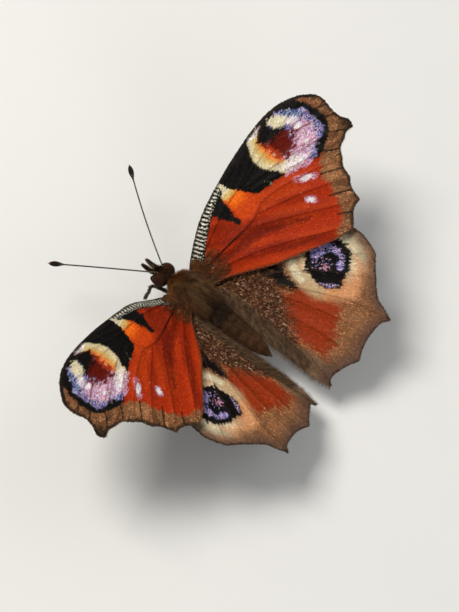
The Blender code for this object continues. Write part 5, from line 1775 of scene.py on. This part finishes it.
class StageSettings(bpy.types.PropertyGroup):
    floor_colour: FloatVectorProperty(name="Floor colour", description="Colour of the plain floor",
                                      default=(0.78, 0.77, 0.74), size=3, min=0.0, max=1.0, subtype="COLOR")
    floor_size: FloatProperty(name="Floor size", description="Width of the floor", default=6.0, min=0.5,
                              unit="LENGTH")
    camera_distance: FloatProperty(name="Camera distance",
                                   description="Distance from the camera to the insect", default=0.6, min=0.2,
                                   unit="LENGTH")
    key_power: FloatProperty(name="Key light", description="Power of the main soft light", default=2.6,
                             min=0.0, unit="POWER")
    fill_power: FloatProperty(name="Fill light", description="Power of the fill light", default=0.65, min=0.0,
                              unit="POWER")


class ButterflySettings(bpy.types.PropertyGroup):
    wings: PointerProperty(type=WingSettings)
    coat: PointerProperty(type=CoatSettings)
    stage: PointerProperty(type=StageSettings)


class PEACOCK_OT_wing_membranes(bpy.types.Operator):
    """Build the four wing membranes with their raised veins"""
    bl_idname = "peacock.wing_membranes"
    bl_label = "Wing membranes"

    def execute(self, context):
        for form in WINGS:
            build_membrane(form, context.scene.peacock.wings)
        return {"FINISHED"}


class PEACOCK_OT_wing_scales(bpy.types.Operator):
    """Lay rows of coloured scales on both faces of the four wings"""
    bl_idname = "peacock.wing_scales"
    bl_label = "Wing scales"

    def execute(self, context):
        for form in WINGS:
            build_scales(form, context.scene.peacock.wings)
        return {"FINISHED"}


class PEACOCK_OT_wing_hair(bpy.types.Operator):
    """Grow the hair of the wing roots and the fringes of the wing edges"""
    bl_idname = "peacock.wing_hair"
    bl_label = "Wing hair and fringes"

    def execute(self, context):
        build_wing_hair(context.scene.peacock.wings)
        return {"FINISHED"}


class PEACOCK_OT_body_skin(bpy.types.Operator):
    """Build the one skin of thorax, head and abdomen"""
    bl_idname = "peacock.body_skin"
    bl_label = "Body skin"

    def execute(self, context):
        build_body_skin()
        return {"FINISHED"}


class PEACOCK_OT_body_coat(bpy.types.Operator):
    """Grow the hair of thorax, abdomen and head on the skin"""
    bl_idname = "peacock.body_coat"
    bl_label = "Body coat"

    def execute(self, context):
        build_body_coat(context.scene.peacock.coat)
        return {"FINISHED"}


class PEACOCK_OT_eyes(bpy.types.Operator):
    """Build the two faceted eyes"""
    bl_idname = "peacock.eyes"
    bl_label = "Eyes"

    def execute(self, context):
        build_eyes()
        return {"FINISHED"}


class PEACOCK_OT_feelers(bpy.types.Operator):
    """Build the clubbed feelers, the hairy palps and the coiled tongue"""
    bl_idname = "peacock.feelers"
    bl_label = "Feelers, palps and tongue"

    def execute(self, context):
        build_antennae()
        build_palps()
        build_tongue()
        return {"FINISHED"}


class PEACOCK_OT_legs(bpy.types.Operator):
    """Build the four walking legs and the two brush-like forelegs"""
    bl_idname = "peacock.legs"
    bl_label = "Legs"

    def execute(self, context):
        build_walking_legs()
        build_forelegs()
        return {"FINISHED"}


class PEACOCK_OT_stage(bpy.types.Operator):
    """Set the floor, the soft studio lights and the camera at the photo's view"""
    bl_idname = "peacock.stage"
    bl_label = "Stage"

    def execute(self, context):
        build_stage(context.scene, context.scene.peacock.stage)
        return {"FINISHED"}


def area_light(name, way, power, size, colour, target):
    data = bpy.data.lights.new(name, "AREA")
    data.energy = power
    data.size = size
    data.color = colour
    lamp = set_in_scene(name, data)
    lamp.location = target + Vector(way)
    lamp.rotation_euler = (-Vector(way)).to_track_quat("-Z", "Y").to_euler()


def floor_material(colour):
    material, tree, shader = nodes_of("floor_matt")
    darker = [channel * 0.97 for channel in colour]
    tone = add_node(tree, "ShaderNodeMix", {6: (*darker, 1.0), 7: (*colour, 1.0),
                                            "Factor": fine_noise(tree, 60.0, 3.0)}, data_type="RGBA")
    tree.links.new(tone.outputs[2], shader.inputs["Base Color"])
    shader.inputs["Roughness"].default_value = 0.9
    return material


def build_stage(scene, settings):
    bm = bmesh.new()
    bmesh.ops.create_grid(bm, x_segments=8, y_segments=8, size=settings.floor_size / 2)
    mesh = bpy.data.meshes.new("floor")
    bm.to_mesh(mesh)
    bm.free()
    floor = add_object("floor", mesh, floor_material(settings.floor_colour))
    target = VIEW_TARGET * MM
    camera = bpy.data.cameras.new("photo_camera")
    camera.lens = camera.sensor_width * settings.camera_distance / (VIEW_HEIGHT * MM)
    camera.clip_start = 0.01
    camera.clip_end = 20.0
    holder = set_in_scene("photo_camera", camera)
    back = VIEW_BACK.normalized()
    right = VIEW_UP.cross(back).normalized()
    up = back.cross(right)
    axes = Matrix((right, up, back)).transposed()
    holder.matrix_world = Matrix.Translation(target + back * settings.camera_distance) @ axes.to_4x4()
    scene.camera = holder
    area_light("key_light", (0.07, -0.28, 0.45), settings.key_power, 0.22, (1.0, 0.97, 0.92), target)
    area_light("fill_light", (-0.45, 0.25, 0.30), settings.fill_power, 0.40, (0.92, 0.96, 1.0), target)
    area_light("rim_light", (0.20, 0.50, 0.25), settings.fill_power, 0.30, (1.0, 1.0, 1.0), target)
    world = bpy.data.worlds.new("studio")
    world.use_nodes = True
    sky = world.node_tree.nodes["Background"]
    sky.inputs["Color"].default_value = (0.95, 0.97, 1.0, 1.0)
    sky.inputs["Strength"].default_value = 0.26
    scene.world = world
    scene.view_settings.view_transform = "Standard"


class PEACOCK_PT_panel(bpy.types.Panel):
    """The sizes and colours, and a button for each group of pieces"""
    bl_idname = "PEACOCK_PT_panel"
    bl_label = "Peacock butterfly"
    bl_space_type = "VIEW_3D"
    bl_region_type = "UI"
    bl_category = "Butterfly"

    def draw(self, context):
        settings = context.scene.peacock
        for group in (settings.wings, settings.coat, settings.stage):
            box = self.layout.box()
            for name in group.__annotations__:
                box.prop(group, name)
        for operator in STEPS:
            self.layout.operator(operator.bl_idname)


STEPS = (PEACOCK_OT_wing_membranes, PEACOCK_OT_wing_scales, PEACOCK_OT_wing_hair, PEACOCK_OT_body_skin,
         PEACOCK_OT_body_coat, PEACOCK_OT_eyes, PEACOCK_OT_feelers, PEACOCK_OT_legs, PEACOCK_OT_stage)
CLASSES = (WingSettings, CoatSettings, StageSettings, ButterflySettings, *STEPS, PEACOCK_PT_panel)


def register():
    for item in CLASSES:
        bpy.utils.register_class(item)
    bpy.types.Scene.peacock = PointerProperty(type=ButterflySettings)


def unregister():
    del bpy.types.Scene.peacock
    for item in reversed(CLASSES):
        bpy.utils.unregister_class(item)


def main():
    register()
    for step in STEPS:
        group, name = step.bl_idname.split(".")
        getattr(getattr(bpy.ops, group), name)()


if __name__ == "__main__":
    main()
